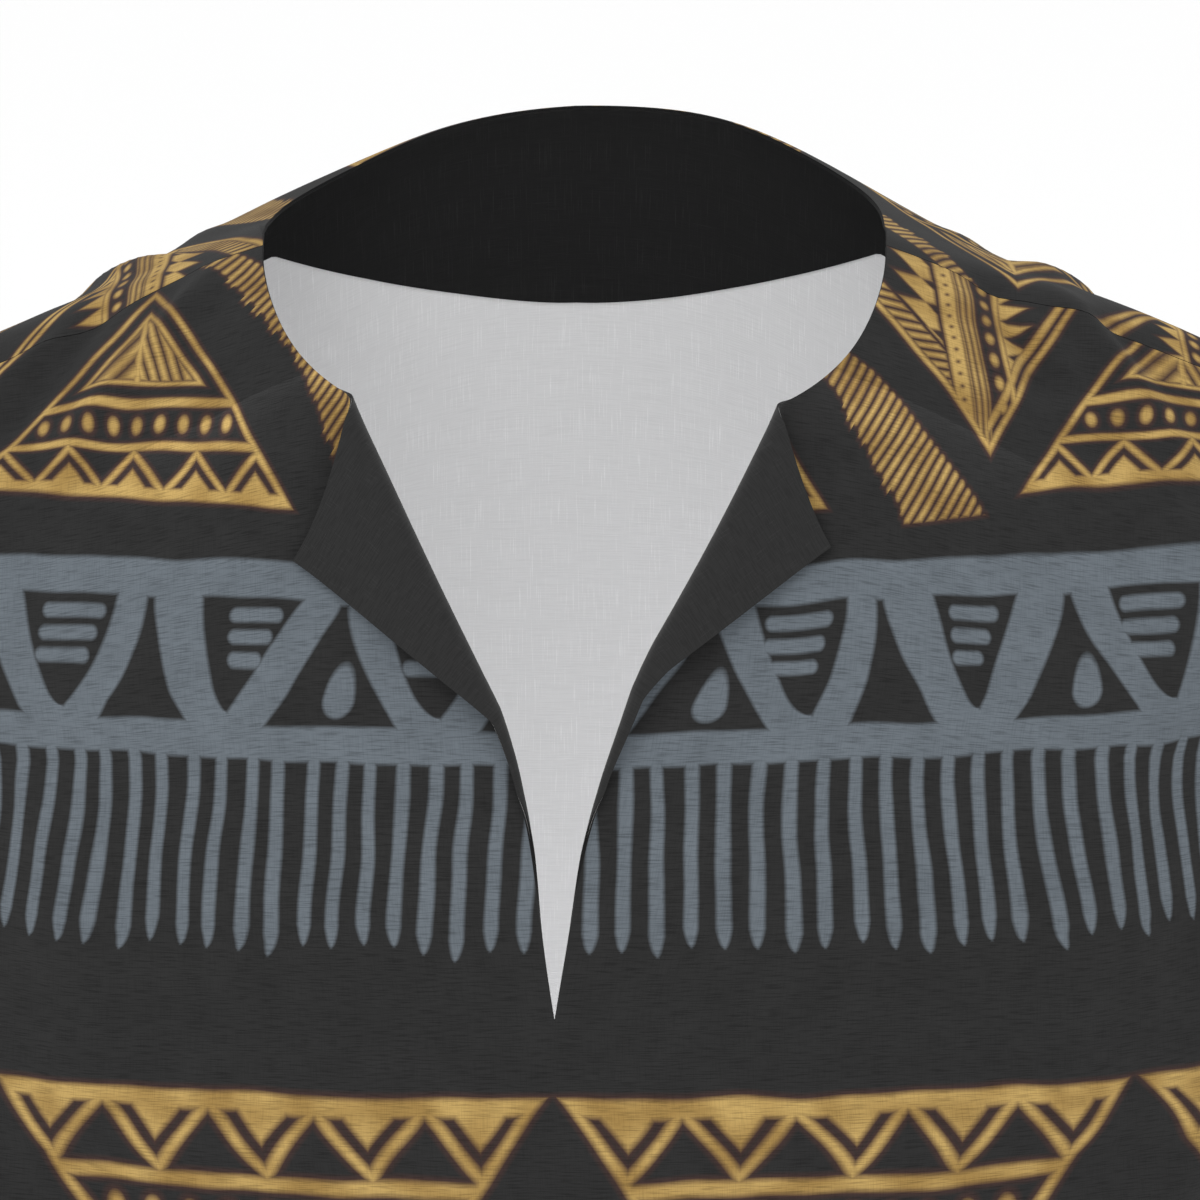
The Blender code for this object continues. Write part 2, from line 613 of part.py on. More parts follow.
def sleeve_point(side, row, along):
    """A point of a sleeve's outer side: along runs from 0 at the armhole to 1 at the cuff."""
    axis = np.array([math.cos(SLEEVE_DROP), 0, -math.sin(SLEEVE_DROP)])
    across = np.array([-math.sin(SLEEVE_DROP), 0, -math.cos(SLEEVE_DROP)])
    tip = plain(np.array(1.0), np.array(float(RIDGE_ROW)))
    middle = tip + axis * SLEEVE_LENGTH + across * CUFF_HALF_HEIGHT
    angle = 2 * math.pi * np.interp(row, ARMHOLE_ROWS, ARMHOLE_TURNS)
    cuff = middle + across * (np.cos(angle) * CUFF_HALF_HEIGHT)[..., None]
    cuff = cuff - np.array([0, 1, 0]) * (np.sin(angle) * CUFF_HALF_DEPTH)[..., None]
    looped = np.where(row < CHEST_ROW, row + BACK_CHEST_ROW - CHEST_ROW, row)
    looped = np.where(looped > BACK_CHEST_ROW, looped - BACK_CHEST_ROW + CHEST_ROW, looped)
    start = draped(side, np.ones(row.shape), looped)
    start[..., 0] *= side
    slope = np.array([math.cos(math.radians(26)), 0, -math.sin(math.radians(26))])
    top = (0.5 - 0.5 * np.cos(angle))[..., None] ** 2
    leave = axis + (slope - axis) * top
    span = np.linalg.norm(cuff - start, axis=-1, keepdims=True)
    part = along[..., None]
    square, cube = part**2, part**3
    points = (
        start * (2 * cube - 3 * square + 1)
        + leave * span * (cube - 2 * square + part)
        + cuff * (3 * square - 2 * cube)
        + axis * span * (cube - square)
    )
    radial = start + (cuff - start) * part - (tip + axis * SLEEVE_LENGTH * part + across * CUFF_HALF_HEIGHT)
    radial = radial - (radial @ axis)[..., None] * axis
    radial = radial / np.linalg.norm(radial, axis=-1, keepdims=True)
    folds = np.sin(SLEEVE_FOLD_COUNT * angle + 5 * along + 0.8 * side) * SLEEVE_FOLD
    folds = folds * smooth(along / 0.35) * (0.6 + 0.4 * np.cos(angle))
    points = points + radial * folds[..., None]
    points[..., 0] *= side
    return points


def sleeve_normals(side, row, along):
    step = 0.004
    around = sleeve_point(side, row + step, along) - sleeve_point(side, row - step, along)
    down = sleeve_point(side, row, along + step) - sleeve_point(side, row, along - step)
    out = np.cross(down, around) * side
    return out / np.linalg.norm(out, axis=-1, keepdims=True)


ARMHOLE_FINE = np.linspace(CHEST_ROW, BACK_CHEST_ROW, 801)
ARMHOLE_ARC = np.linalg.norm(np.diff(plain(np.ones(801), ARMHOLE_FINE), axis=0), axis=1)
ARMHOLE_ARC = np.concatenate([[0], np.cumsum(ARMHOLE_ARC)])
ARMHOLE_ROWS = np.concatenate([[CHEST_ROW - 1], ARMHOLE_FINE, [BACK_CHEST_ROW + 1]])
ARMHOLE_TURNS = ARMHOLE_ARC / ARMHOLE_ARC[-1]
ARMHOLE_TURNS = np.concatenate([[-0.12], ARMHOLE_TURNS, [1.12]])


def build_sleeve(name, side, material):
    """A straight tube from the armhole to the cuff, held off the armhole's edge by the seam gap."""
    row = armhole_rows()
    columns = len(row)
    start = 1.5 * GAP / SLEEVE_LENGTH
    along = start + (1 - start) * (np.arange(SLEEVE_RINGS + 1) / SLEEVE_RINGS)
    row, along = np.meshgrid(row, along)
    outer = sleeve_point(side, row, along)
    inner = outer - sleeve_normals(side, row, along) * WALL
    quads = []
    for i in range(SLEEVE_RINGS):
        for j in range(columns):
            a, b = i * columns + j, i * columns + (j + 1) % columns
            quad = (a, b, b + columns, a + columns)
            quads.append(quad if side < 0 else (a, *quad[:0:-1]))
    add_wall(name, outer.reshape(-1, 3), inner.reshape(-1, 3), quads, material)


def main():
    for thing in list(bpy.data.objects):
        bpy.data.objects.remove(thing)
    print_cloth = new_material("charcoal print cloth", (0.032, 0.032, 0.032), 0.85)
    facing_cloth = new_material("charcoal facing cloth", (0.030, 0.030, 0.030), 0.88)
    build_front(print_cloth, facing_cloth)
    build_back(print_cloth, facing_cloth)
    build_sleeve("sleeve_left", 1, print_cloth)
    build_sleeve("sleeve_right", -1, print_cloth)


main()
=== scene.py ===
"""The looks of a dashiki shirt filled out as if worn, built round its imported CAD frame."""

import math
from collections import namedtuple

import bpy
import numpy as np
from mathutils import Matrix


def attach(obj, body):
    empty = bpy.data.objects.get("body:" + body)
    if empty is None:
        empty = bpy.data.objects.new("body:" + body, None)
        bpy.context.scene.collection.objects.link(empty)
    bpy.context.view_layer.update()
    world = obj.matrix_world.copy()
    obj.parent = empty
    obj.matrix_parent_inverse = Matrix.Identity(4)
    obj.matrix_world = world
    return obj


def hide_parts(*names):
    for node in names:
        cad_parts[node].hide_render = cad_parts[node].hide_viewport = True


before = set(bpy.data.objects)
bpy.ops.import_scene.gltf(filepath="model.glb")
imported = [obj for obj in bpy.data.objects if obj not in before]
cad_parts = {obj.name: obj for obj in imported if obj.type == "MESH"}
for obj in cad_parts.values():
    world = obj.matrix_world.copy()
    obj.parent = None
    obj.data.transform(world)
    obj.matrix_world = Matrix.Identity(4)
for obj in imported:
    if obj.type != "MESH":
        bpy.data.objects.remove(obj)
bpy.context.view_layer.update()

MM = 0.001

# Camera: a long lens 1.6 m away, 17 degrees above level, framed on the neck and upper chest.
view = bpy.data.cameras.new("view")
view.lens = 150
view.sensor_width = 36
view.clip_end = 50
viewer = bpy.data.objects.new("view", view)
viewer.location = (8.16 * MM, -1563.1 * MM, 359.9 * MM)
viewer.rotation_euler = (math.radians(73), 0, 0)
bpy.context.scene.collection.objects.link(viewer)
bpy.context.scene.camera = viewer

# Front panel. One piece of printed cloth, cut with a round neckline and a slit, and filled out as
# if worn. The corners of the slit are turned out over a soft roll and lie on the chest.

# The cloth's form: sections from the middle out to the side seam or armhole, in millimetres.
Section = namedtuple("Section", "name mid_depth mid_height edge_out edge_depth edge_height wrap level_to bow")
FRONT_SECTIONS = (
    Section("hem", 130, -735, 270, 0, -735, 90, 90, 1),
    Section("hip", 128, -620, 265, 0, -620, 90, 90, 1),
    Section("waist", 124, -490, 257, 0, -490, 90, 90, 1),
    Section("ribs", 125, -375, 252, 0, -375, 90, 90, 1),
    Section("chest", 126, -275, 252, 0, -275, 90, 90, 1),
    Section("underarm", 125, -240, 245, 27, -247, 85, 90, 1),
    Section("bust", 122, -196, 231, 36, -205, 80, 90, 1),
    Section("upper chest", 106, -116, 218, 47, -142, 68, 80, 1),
    Section("collarbone", 79, -45, 224, 36, -92, 52, 60, 1),
)
RIDGE = Section("shoulder ridge", 0, 24, 235, 0, -52, 35, 40, 1)
BACK_SECTIONS = (
    Section("nape", 84, 26, 229, 34, -86, 52, 48, 1.12),
    Section("upper back", 108, -62, 226, 50, -142, 64, 40, 1),
    Section("shoulder blade", 117, -165, 238, 42, -205, 80, 90, 1),
    Section("back underarm", 113, -240, 245, 27, -247, 85, 90, 1),
    Section("back chest", 112, -275, 252, 0, -275, 90, 90, 1),
    Section("back ribs", 103, -375, 252, 0, -375, 90, 90, 1),
    Section("back waist", 98, -490, 257, 0, -490, 90, 90, 1),
    Section("seat", 112, -620, 265, 0, -620, 90, 90, 1),
    Section("back hem", 116, -735, 270, 0, -735, 90, 90, 1),
)
CHEST_ROW = 4
RIDGE_ROW = len(FRONT_SECTIONS)
NAPE_ROW = RIDGE_ROW + 1
BACK_CHEST_ROW = RIDGE_ROW + 5
LAST_ROW = RIDGE_ROW + len(BACK_SECTIONS)
CURVE_POINTS = 400
SQUARENESS = 2.35
SLOPE_BLEND = 28
ORIGIN_DEPTH = -11
ORIGIN_HEIGHT = -1.5

CLOTH = 0.55 * MM
SEAM_GAP = 0.3 * MM
NECK_HALF_WIDTH = 100 * MM
SEAM_FORWARD = 12 * MM
SEAM_FORWARD_TIP = 28 * MM
SEAM_TURN_SHARE = 0.45
SLIT_BOTTOM_DOWN = 292 * MM
SLIT_OPENING = 18 * MM
SLIT_LEAN = -6 * MM
OPENING_REACH = 190 * MM
ROLL_START_OUT = 63 * MM
ROLL_END_UP = 80 * MM
ROLL_END_BLEND = 9 * MM
ROLL_RADIUS = 3.4 * MM
ROLL_RADIUS_LEAST = 0.9 * MM
ROLL_RADIUS_SHARE = 0.3
ROLL_FOOT_SHARE = 0.8
CORNER_LIFT = 1.8 * MM
CORNER_REACH_RADII = 9
RIGHT_TUCK = 4.6 * MM
TUCK_FADE = 20 * MM

# Creases: soft ridges, or troughs where negative, between two points of the cloth. Out is from the
# middle, over is from the shoulder line along the cloth, minus on the front, in millimetres. The
# large ones are the frame's own, and the fine ones follow the pull of the shoulders and arms.
Crease = namedtuple("Crease", "out_1 over_1 out_2 over_2 half_width height")
CREASES = (
    Crease(-112, -10, -172, -90, 9, 4.5),
    Crease(-150, -4, -200, -84, 8, -3.5),
    Crease(-192, -66, -214, -160, 13, 4.0),
    Crease(-172, -190, -150, -340, 17, 3.5),
    Crease(-230, -330, -120, -430, 15, 6.0),
    Crease(-245, -430, -150, -560, 18, 6.0),
    Crease(134, -2, 160, -74, 8, -4.0),
    Crease(156, 4, 204, -90, 9, 4.5),
    Crease(192, -70, 212, -170, 12, 4.0),
    Crease(176, -180, 158, -330, 16, 4.0),
    Crease(236, -330, 140, -410, 14, 6.0),
    Crease(248, -420, 170, -550, 18, 6.5),
    Crease(-138, 8, -180, 80, 9, 4.0),
    Crease(-205, 120, -160, 270, 15, 5.5),
    Crease(-240, 340, -130, 460, 17, 6.5),
    Crease(-60, 390, -170, 480, 16, 5.0),
    Crease(150, 10, 192, 76, 9, 4.0),
    Crease(200, 130, 170, 290, 15, 5.0),
    Crease(245, 330, 120, 440, 17, 6.5),
    Crease(50, 410, 180, 510, 16, 5.0),
)
FINE_CREASES = (
    Crease(-126, -16, -150, -62, 4.5, -1.6),
    Crease(-168, -18, -206, -52, 4.5, 1.8),
    Crease(-150, -70, -190, -118, 6, 1.2),
    Crease(-98, -60, -128, -120, 8, -0.9),
    Crease(-205, -170, -168, -240, 7, 1.6),
    Crease(-222, -210, -190, -300, 8, -1.6),
    Crease(-90, -240, -60, -330, 12, 0.9),
    Crease(-206, -380, -110, -470, 8, 2.2),
    Crease(-150, -500, -60, -560, 10, 1.8),
    Crease(-90, -420, -20, -470, 10, 1.4),
    Crease(-236, -560, -190, -690, 10, 2.0),
    Crease(146, -20, 166, -58, 4.5, 2.0),
    Crease(172, -14, 194, -46, 4, -1.8),
    Crease(186, -60, 206, -110, 5, -1.4),
    Crease(150, -84, 178, -140, 7, 1.1),
    Crease(204, -180, 172, -250, 7, 1.6),
    Crease(222, -220, 196, -310, 8, -1.5),
    Crease(96, -250, 70, -340, 12, 0.9),
    Crease(214, -370, 120, -450, 8, 2.2),
    Crease(160, -490, 80, -560, 10, 1.7),
    Crease(80, -410, 10, -450, 10, 1.3),
    Crease(240, -560, 200, -700, 10, 2.0),
    Crease(-170, 20, -205, 70, 5, -1.8),
    Crease(-120, 40, -150, 110, 7, 1.2),
    Crease(-215, 180, -180, 260, 7, 1.8),
    Crease(-200, 300, -90, 390, 9, 2.0),
    Crease(-220, 420, -140, 520, 9, 2.0),
    Crease(-60, 460, 30, 500, 11, 1.5),
    Crease(-120, 560, -40, 690, 13, 1.3),
    Crease(176, 24, 208, 76, 5, -1.8),
    Crease(124, 36, 156, 104, 7, 1.2),
    Crease(218, 170, 186, 250, 7, 1.8),
    Crease(206, 310, 100, 400, 9, 2.0),
    Crease(226, 430, 150, 530, 9, 2.0),
    Crease(0, 380, 70, 430, 10, 1.4),
    Crease(110, 570, 40, 700, 13, 1.3),
    Crease(-20, 150, -50, 250, 16, 0.9),
    Crease(30, 130, 60, 240, 16, -0.9),
)
CREASE_FADE = 0.4
CREASE_START = 0.2

# Waves of the hanging cloth round the body, growing towards the hem.
Wave = namedtuple("Wave", "count turn height")
WAVES = (Wave(5, 0.4, 3.5), Wave(8, 1.9, 3.0), Wave(11, 0.7, 1.8), Wave(17, 2.2, 0.7))
WAVE_TOP = -300
WAVE_BOTTOM = -735

# Uneven shoulders: how far the cloth stands above or below an even form, over a soft round place
# that fades out before a line across the shoulders.
Mound = namedtuple("Mound", "out over out_reach over_reach height fades_at")
MOUNDS = (Mound(-66, 55, 45, 50, -7.5, 0), Mound(200, -10, 50, 110, 5.5, -400))
MOUND_FADE = 40


def smooth(x):
    """Rises from 0 to 1 with level ends."""
    x = np.clip(x, 0, 1)
    return x * x * (3 - 2 * x)


def hinge(out, level_to, blend=SLOPE_BLEND):
    """Level near the middle, then a straight slope: the shape of a shoulder line, in millimetres."""
    beyond = out - level_to
    return (np.sqrt(beyond**2 + blend**2) + beyond) / 2


class Row:
    """One section as a curve, read by its share of the way from the middle to the edge."""

    def __init__(self, section, forward):
        wrap = math.radians(section.wrap)
        angle = np.linspace(0, wrap, CURVE_POINTS)
        side = np.sin(angle) ** (2 / SQUARENESS) / math.sin(wrap) ** (2 / SQUARENESS)
        level = np.cos(angle).clip(0) ** (2 / SQUARENESS)
        last = max(math.cos(wrap), 0) ** (2 / SQUARENESS)
        depth = section.edge_depth + (section.mid_depth - section.edge_depth) * (level - last) / (1 - last)
        out = section.edge_out * side
        inner, outer = hinge(0, section.level_to), hinge(section.edge_out, section.level_to)
        fall = ((hinge(out, section.level_to) - inner) / (outer - inner)).clip(0) ** section.bow
        height = section.mid_height + (section.edge_height - section.mid_height) * fall
        points = np.stack([out, -forward * depth - ORIGIN_DEPTH, height - ORIGIN_HEIGHT], 1) * MM
        steps = np.linalg.norm(np.diff(points, axis=0), axis=1)
        arc = np.concatenate([[0], np.cumsum(steps)])
        self.length = arc[-1]
        self.shares = arc / arc[-1]
        self.points = points

    def at(self, share):
        return np.stack([np.interp(share, self.shares, self.points[:, k]) for k in range(3)], -1)


ROWS = [Row(section, 1) for section in FRONT_SECTIONS]
ROWS.append(Row(RIDGE, 1))
ROWS += [Row(section, -1) for section in BACK_SECTIONS]
KNOTS = np.array([row.at(np.array(0.5)) for row in ROWS])
KNOTS = np.concatenate([[0], np.cumsum(np.linalg.norm(np.diff(KNOTS, axis=0), axis=1))])


def plain(share, row):
    """The uncreased cloth of the right half. Row runs from the front hem over the ridge to the back hem."""
    share, row = np.broadcast_arrays(np.asarray(share, float), np.asarray(row, float))
    ladder = np.stack([r.at(share) for r in ROWS])
    tall = KNOTS.reshape((-1,) + (1,) * (ladder.ndim - 1))
    slopes = np.empty_like(ladder)
    rise = np.diff(ladder, axis=0) / np.diff(tall, axis=0)
    same_way = rise[:-1] * rise[1:] > 0
    total = np.where(same_way, rise[:-1] + rise[1:], 1)
    slopes[1:-1] = np.where(same_way, 2 * rise[:-1] * rise[1:] / total, 0)
    slopes[0], slopes[-1] = rise[0], rise[-1]
    low = np.clip(np.floor(row).astype(int), 0, LAST_ROW - 1)
    part = (row - low)[..., None]
    span = (KNOTS[low + 1] - KNOTS[low])[..., None]
    take = (low,) + tuple(np.indices(low.shape))
    upper = (low + 1,) + tuple(np.indices(low.shape))
    square, cube = part**2, part**3
    return (
        ladder[take] * (2 * cube - 3 * square + 1)
        + slopes[take] * span * (cube - 2 * square + part)
        + ladder[upper] * (3 * square - 2 * cube)
        + slopes[upper] * span * (cube - square)
    )


FINE_ROWS = np.linspace(0, LAST_ROW, 1601)
MIDDLE = plain(np.zeros_like(FINE_ROWS), FINE_ROWS)
MIDDLE_ARC = np.concatenate([[0], np.cumsum(np.linalg.norm(np.diff(MIDDLE, axis=0), axis=1))])
MIDDLE_ARC = MIDDLE_ARC - np.interp(RIDGE_ROW, FINE_ROWS, MIDDLE_ARC)
ROW_LENGTHS = np.array([row.length for row in ROWS])


def down_of(row):
    """Cloth length from the ridge, negative on the front."""
    return np.interp(row, FINE_ROWS, MIDDLE_ARC)


def row_of(down):
    return np.interp(down, MIDDLE_ARC, FINE_ROWS)


def width_of(row):
    return np.interp(row, np.arange(LAST_ROW + 1), ROW_LENGTHS)


def crease_height(side, share, row):
    """How far the creases lift the cloth from its plain form."""
    out = side * share * width_of(row)
    over = down_of(row)
    total = np.zeros(np.broadcast(out, over).shape)
    for crease in CREASES + FINE_CREASES:
        start = np.array([crease.out_1, crease.over_1]) * MM
        run = np.array([crease.out_2, crease.over_2]) * MM - start
        length = np.linalg.norm(run)
        run = run / length
        along = (out - start[0]) * run[0] + (over - start[1]) * run[1]
        across = (out - start[0]) * run[1] - (over - start[1]) * run[0]
        fade = CREASE_FADE * length
        ends = smooth(along / fade + CREASE_START) * smooth((length - along) / fade + CREASE_START)
        total += crease.height * MM * ends * np.exp(-((across / (crease.half_width * MM)) ** 2))
    return total


def wave_height(side, share, row):
    """The waves of the hanging cloth, which run on across the side seams."""
    height = plain(share, row)[..., 2] / MM
    grow = smooth((WAVE_TOP - height) / (WAVE_TOP - WAVE_BOTTOM))
    turn = np.where(row < RIDGE_ROW, share * 90, 180 - share * 90) * side
    total = sum(w.height * np.cos(np.radians(w.count * turn) + w.turn) for w in WAVES)
    return total * grow * MM


def normals(surface, side, share, row):
    """Unit vectors that point out of the garment."""
    step = 0.002
    across = surface(side, np.clip(share + step, 0, 1), row) - surface(side, np.clip(share - step, 0, 1), row)
    along = surface(side, share, np.clip(row + step, 0, LAST_ROW))
    along = along - surface(side, share, np.clip(row - step, 0, LAST_ROW))
    out = np.cross(across, along) * np.asarray(side)[..., None]
    return out / np.linalg.norm(out, axis=-1, keepdims=True)


def mirrored(side, share, row):
    points = plain(share, row)
    points[..., 0] *= side
    out, over = side * share * width_of(row) / MM, down_of(row) / MM
    for m in MOUNDS:
        place = ((out - m.out) / m.out_reach) ** 2 + ((over - m.over) / m.over_reach) ** 2
        points[..., 2] += m.height * MM * np.exp(-place) * smooth((over - m.fades_at) / MOUND_FADE)
    return points


def draped(side, share, row):
    """The cloth with its creases and waves, and with the slit drawn open at its top."""
    points = mirrored(side, share, row)
    lift = crease_height(side, share, row) + wave_height(side, share, row)
    points = points + normals(mirrored, side, share, row) * lift[..., None]
    down = down_of(row)
    up_slit = np.clip((down + SLIT_BOTTOM_DOWN) / (SLIT_BOTTOM_DOWN - NECK_DROP), 0, 1)
    reach = smooth(1 - share * width_of(row) / OPENING_REACH)
    open_by = SLIT_OPENING * np.sin(up_slit * math.pi / 2) * reach
    fade = np.where(down < 0, smooth(-down / NECK_DROP), 0)
    lean = SLIT_LEAN * smooth(1 - abs(down + SLIT_BOTTOM_DOWN) / OPENING_REACH) * reach
    points[..., 0] += side * open_by * fade + lean
    return points


NECK_DROP = -float(down_of(RIDGE_ROW - 1))
NECK_SHARE = float(np.interp(NECK_HALF_WIDTH, ROWS[RIDGE_ROW].points[:, 0], ROWS[RIDGE_ROW].shares))
SEAM_ROW = float(row_of(-SEAM_FORWARD))
SLIT_ROW = float(row_of(-SLIT_BOTTOM_DOWN))
SEAM_STEP = SEAM_GAP / 2 / (KNOTS[RIDGE_ROW] - KNOTS[RIDGE_ROW - 1])


def seam_row(share):
    """The shoulder seam's row, which comes forward towards the shoulder's tip."""
    turn = smooth((share - NECK_SHARE) / SEAM_TURN_SHARE)
    return row_of(-SEAM_FORWARD - (SEAM_FORWARD_TIP - SEAM_FORWARD) * turn)


def neckline(angle):
    """Share and row on the front neckline, from the slit (angle 0) to the shoulder seam (a quarter turn)."""
    share = NECK_SHARE * np.sin(angle)
    row = (RIDGE_ROW - 1) + (SEAM_ROW - RIDGE_ROW + 1) * (1 - np.cos(angle))
    return share, row


start_share, start_row = neckline(math.asin(ROLL_START_OUT / NECK_HALF_WIDTH))
ROLL_START = np.array([start_share * width_of(start_row), down_of(start_row)])
ROLL_END = np.array([0.0, -SLIT_BOTTOM_DOWN + ROLL_END_UP])


def fold_out(down, tuck):
    """How far the fold lies from the slit edge: a straight line, less a tuck, that eases into the edge."""
    line = ROLL_START[0] * (down - ROLL_END[1]) / (ROLL_START[1] - ROLL_END[1])
    line = line - tuck * smooth(line / TUCK_FADE)
    eased = (np.sqrt(line**2 + ROLL_END_BLEND**2) + line) / 2
    return eased * smooth((down + SLIT_BOTTOM_DOWN) / (ROLL_FOOT_SHARE * ROLL_END_UP))


def fold_frame(down, tuck):
    """The fold's distance out, its slope, the length of a step square to it, and its radius."""
    out = fold_out(down, tuck)
    slope = (fold_out(down + MM, tuck) - fold_out(down - MM, tuck)) / (2 * MM)
    square = np.sqrt(1 + slope**2)
    radius = np.clip(out * ROLL_RADIUS_SHARE, ROLL_RADIUS_LEAST, ROLL_RADIUS)
    return out, slope, square, radius


def fronted(side, share, row):
    """The front panel's outer side, with the corners of its slit rolled out and laid on the chest."""
    side, share, row = np.broadcast_arrays(side, share, row)
    flat_out, flat_down = share * width_of(row), down_of(row)
    out, slope, square, radius = fold_frame(flat_down, np.where(side > 0, RIGHT_TUCK, 0))
    past = (out - flat_out) / square
    rolled = (past > 0) & (flat_down > -SLIT_BOTTOM_DOWN) & (flat_down < 0)
    turn = np.clip(past / radius, 0, math.pi)
    beyond = np.maximum(past - math.pi * radius, 0)
    shift = np.where(rolled, radius * np.sin(turn) - beyond - past, 0)
    spot_out = flat_out - shift / square
    spot_row = np.where(rolled, row_of(flat_down + shift * slope / square), row)
    spot_share = np.where(rolled, np.clip(spot_out / width_of(spot_row), 0, 1), share)
    lift = radius * (1 - np.cos(turn))
    lift = lift - (2 * radius - CORNER_LIFT) * smooth(beyond / (CORNER_REACH_RADII * radius))
    points = draped(side, spot_share, spot_row)
    out = normals(draped, side, spot_share, spot_row)
    points[..., 0] += side * np.where(rolled, np.minimum(spot_out, 0), 0)
    return points + out * np.where(rolled, lift, 0)[..., None]


# Grid of the front: columns run from the slit over the turned-out corner, along neck and shoulder.
FLAP_STEPS = tuple(np.linspace(1, 0.07, 15))
ROLL_STEPS = 12
ROLL_MOST_OF_FLAP = 0.8
FLAP_SEARCH_PAST = 1.1
CHEST_STEPS = 30
SHOULDER_STEPS = 36
ARM_ROWS = 14
BODY_ROWS = 76
SLIT_ROWS = 118
LOW_FLAP_OUT = 16 * MM
LOW_FLAP_EASE = 20 * MM
LOW_NECK_OUT = 92 * MM
COLUMN_LEAD_OUT = 0.16
COLUMN_LEAD_DOWN = 0.9


def past_fold(down, edge, tuck):
    """Distances past the fold of the flap's columns, from the slit edge to the fold."""
    radius = fold_frame(down, tuck)[3]
    roll = np.minimum(math.pi * radius, ROLL_MOST_OF_FLAP * edge)
    flap = [roll + (edge - roll) * step for step in FLAP_STEPS]
    return flap + [roll * (1 - k / ROLL_STEPS) for k in range(ROLL_STEPS + 1)]


def flap_tops(tuck):
    """Neckline angles of the flap's columns, where they are the wanted distances past the fold."""
    last = math.asin(ROLL_START_OUT / NECK_HALF_WIDTH) * FLAP_SEARCH_PAST
    angles = np.linspace(0, last, CURVE_POINTS)
    share, row = neckline(angles)
    out, slope, square, radius = fold_frame(down_of(row), tuck)
    past = (out - share * width_of(row)) / square
    wanted = past_fold(ROLL_START[1], past[0], tuck)
    return np.interp(wanted, past[::-1], angles[::-1])


def flap_lines(tops, t, tuck):
    """Share and row of the flap's columns at the shares t of the way up the slit."""
    top_row = neckline(tops)[1]
    row = SLIT_ROW + (top_row - SLIT_ROW) * t
    down = down_of(row)
    out, slope, square, radius = fold_frame(down, tuck)
    edge = out / square
    past = np.stack([past_fold(down[:, k], edge[:, 0], tuck)[k] for k in range(len(tops))], 1)
    low = LOW_FLAP_OUT * np.arange(len(tops)) / (len(tops) - 1)
    spread = low * smooth((ROLL_END[1] + LOW_FLAP_EASE - down) / (ROLL_END_UP + LOW_FLAP_EASE))
    along = out - past * square + spread
    along[:, 0] = 0
    share = along / width_of(row)
    share[-1] = neckline(tops)[0]
    return share, row


def front_columns(roll_angle):
    """Ends of the other columns of one half, and how much each leaves the neckline squarely."""
    angles = np.linspace(roll_angle, math.pi / 2, CHEST_STEPS + 1)[1:]
    top_share, top_row = neckline(angles)
    shoulder = np.linspace(NECK_SHARE, 1, SHOULDER_STEPS + 1)[1:]
    top_share = np.concatenate([top_share, shoulder])
    top_row = np.concatenate([top_row, seam_row(shoulder)])
    top_row = np.minimum(top_row, seam_row(top_share) - SEAM_STEP)
    low_neck = np.linspace(LOW_FLAP_OUT, LOW_NECK_OUT, CHEST_STEPS + 1)[1:]
    low_width = float(width_of(SLIT_ROW))
    low_side = np.linspace(LOW_NECK_OUT, low_width, SHOULDER_STEPS + 1)[1:]
    low_share = np.concatenate([low_neck, low_side]) / low_width
    lead = np.sin(np.concatenate([angles, np.full(SHOULDER_STEPS, math.pi / 2)])) ** 2
    lead = lead * np.minimum(1, (1 - top_share) / (1 - NECK_SHARE))
    return low_share, top_share, top_row, lead


def front_grid(tuck):
    """Share and row of each point of one half: level rows below the slit, then rows that rise to the top."""
    tops = flap_tops(tuck)
    t = (np.arange(1, SLIT_ROWS + 1) / SLIT_ROWS)[:, None]
    flap_share, flap_row = flap_lines(tops, t, tuck)
    low_share, top_share, top_row, lead = front_columns(tops[-1])
    low, bend, high = (1 - t) ** 2, 2 * t * (1 - t), t**2
    bend_share = (low_share + top_share) / 2 * (1 - lead) + (top_share + COLUMN_LEAD_OUT) * lead
    bend_row = (SLIT_ROW + top_row) / 2 * (1 - lead) + (top_row - COLUMN_LEAD_DOWN) * lead
    slit_share = np.concatenate([flap_share, low_share * low + bend_share * bend + top_share * high], 1)
    slit_row = np.concatenate([flap_row, SLIT_ROW * low + bend_row * bend + top_row * high], 1)
    low_flap = np.linspace(0, LOW_FLAP_OUT, len(tops)) / float(width_of(SLIT_ROW))
    body_share = np.concatenate([low_flap, low_share])
    below = np.linspace(0, CHEST_ROW, BODY_ROWS - ARM_ROWS + 1)
    body = np.concatenate([below, np.linspace(CHEST_ROW, SLIT_ROW, ARM_ROWS + 1)[1:]])
    share = np.concatenate([np.tile(body_share, (len(body), 1)), slit_share])
    row = np.concatenate([np.tile(body[:, None], (1, len(body_share))), slit_row])
    share[:, -1] = 1
    share = np.minimum(share, 1 - SEAM_GAP / 2 / float(width_of(CHEST_ROW)))
    return share, row


def outward(points, quads):
    """Unit vectors that point out of the garment, at each point of a grid of faces."""
    quads = np.array(quads)
    corner = points[quads]
    face = np.cross(corner[:, 2] - corner[:, 0], corner[:, 3] - corner[:, 1])
    total = np.zeros_like(points)
    for k in range(4):
        np.add.at(total, quads[:, k], face)
    return total / np.maximum(np.linalg.norm(total, axis=1, keepdims=True), 1e-12)


def grid_quads(rows, columns, flip):
    """Faces over a grid of points that are numbered row by row."""
    quads = []
    for i in range(rows - 1):
        for j in range(columns - 1):
            a = i * columns + j
            quad = (a, a + 1, a + columns + 1, a + columns)
            quads.append((a, *quad[:0:-1]) if flip else quad)
    return quads


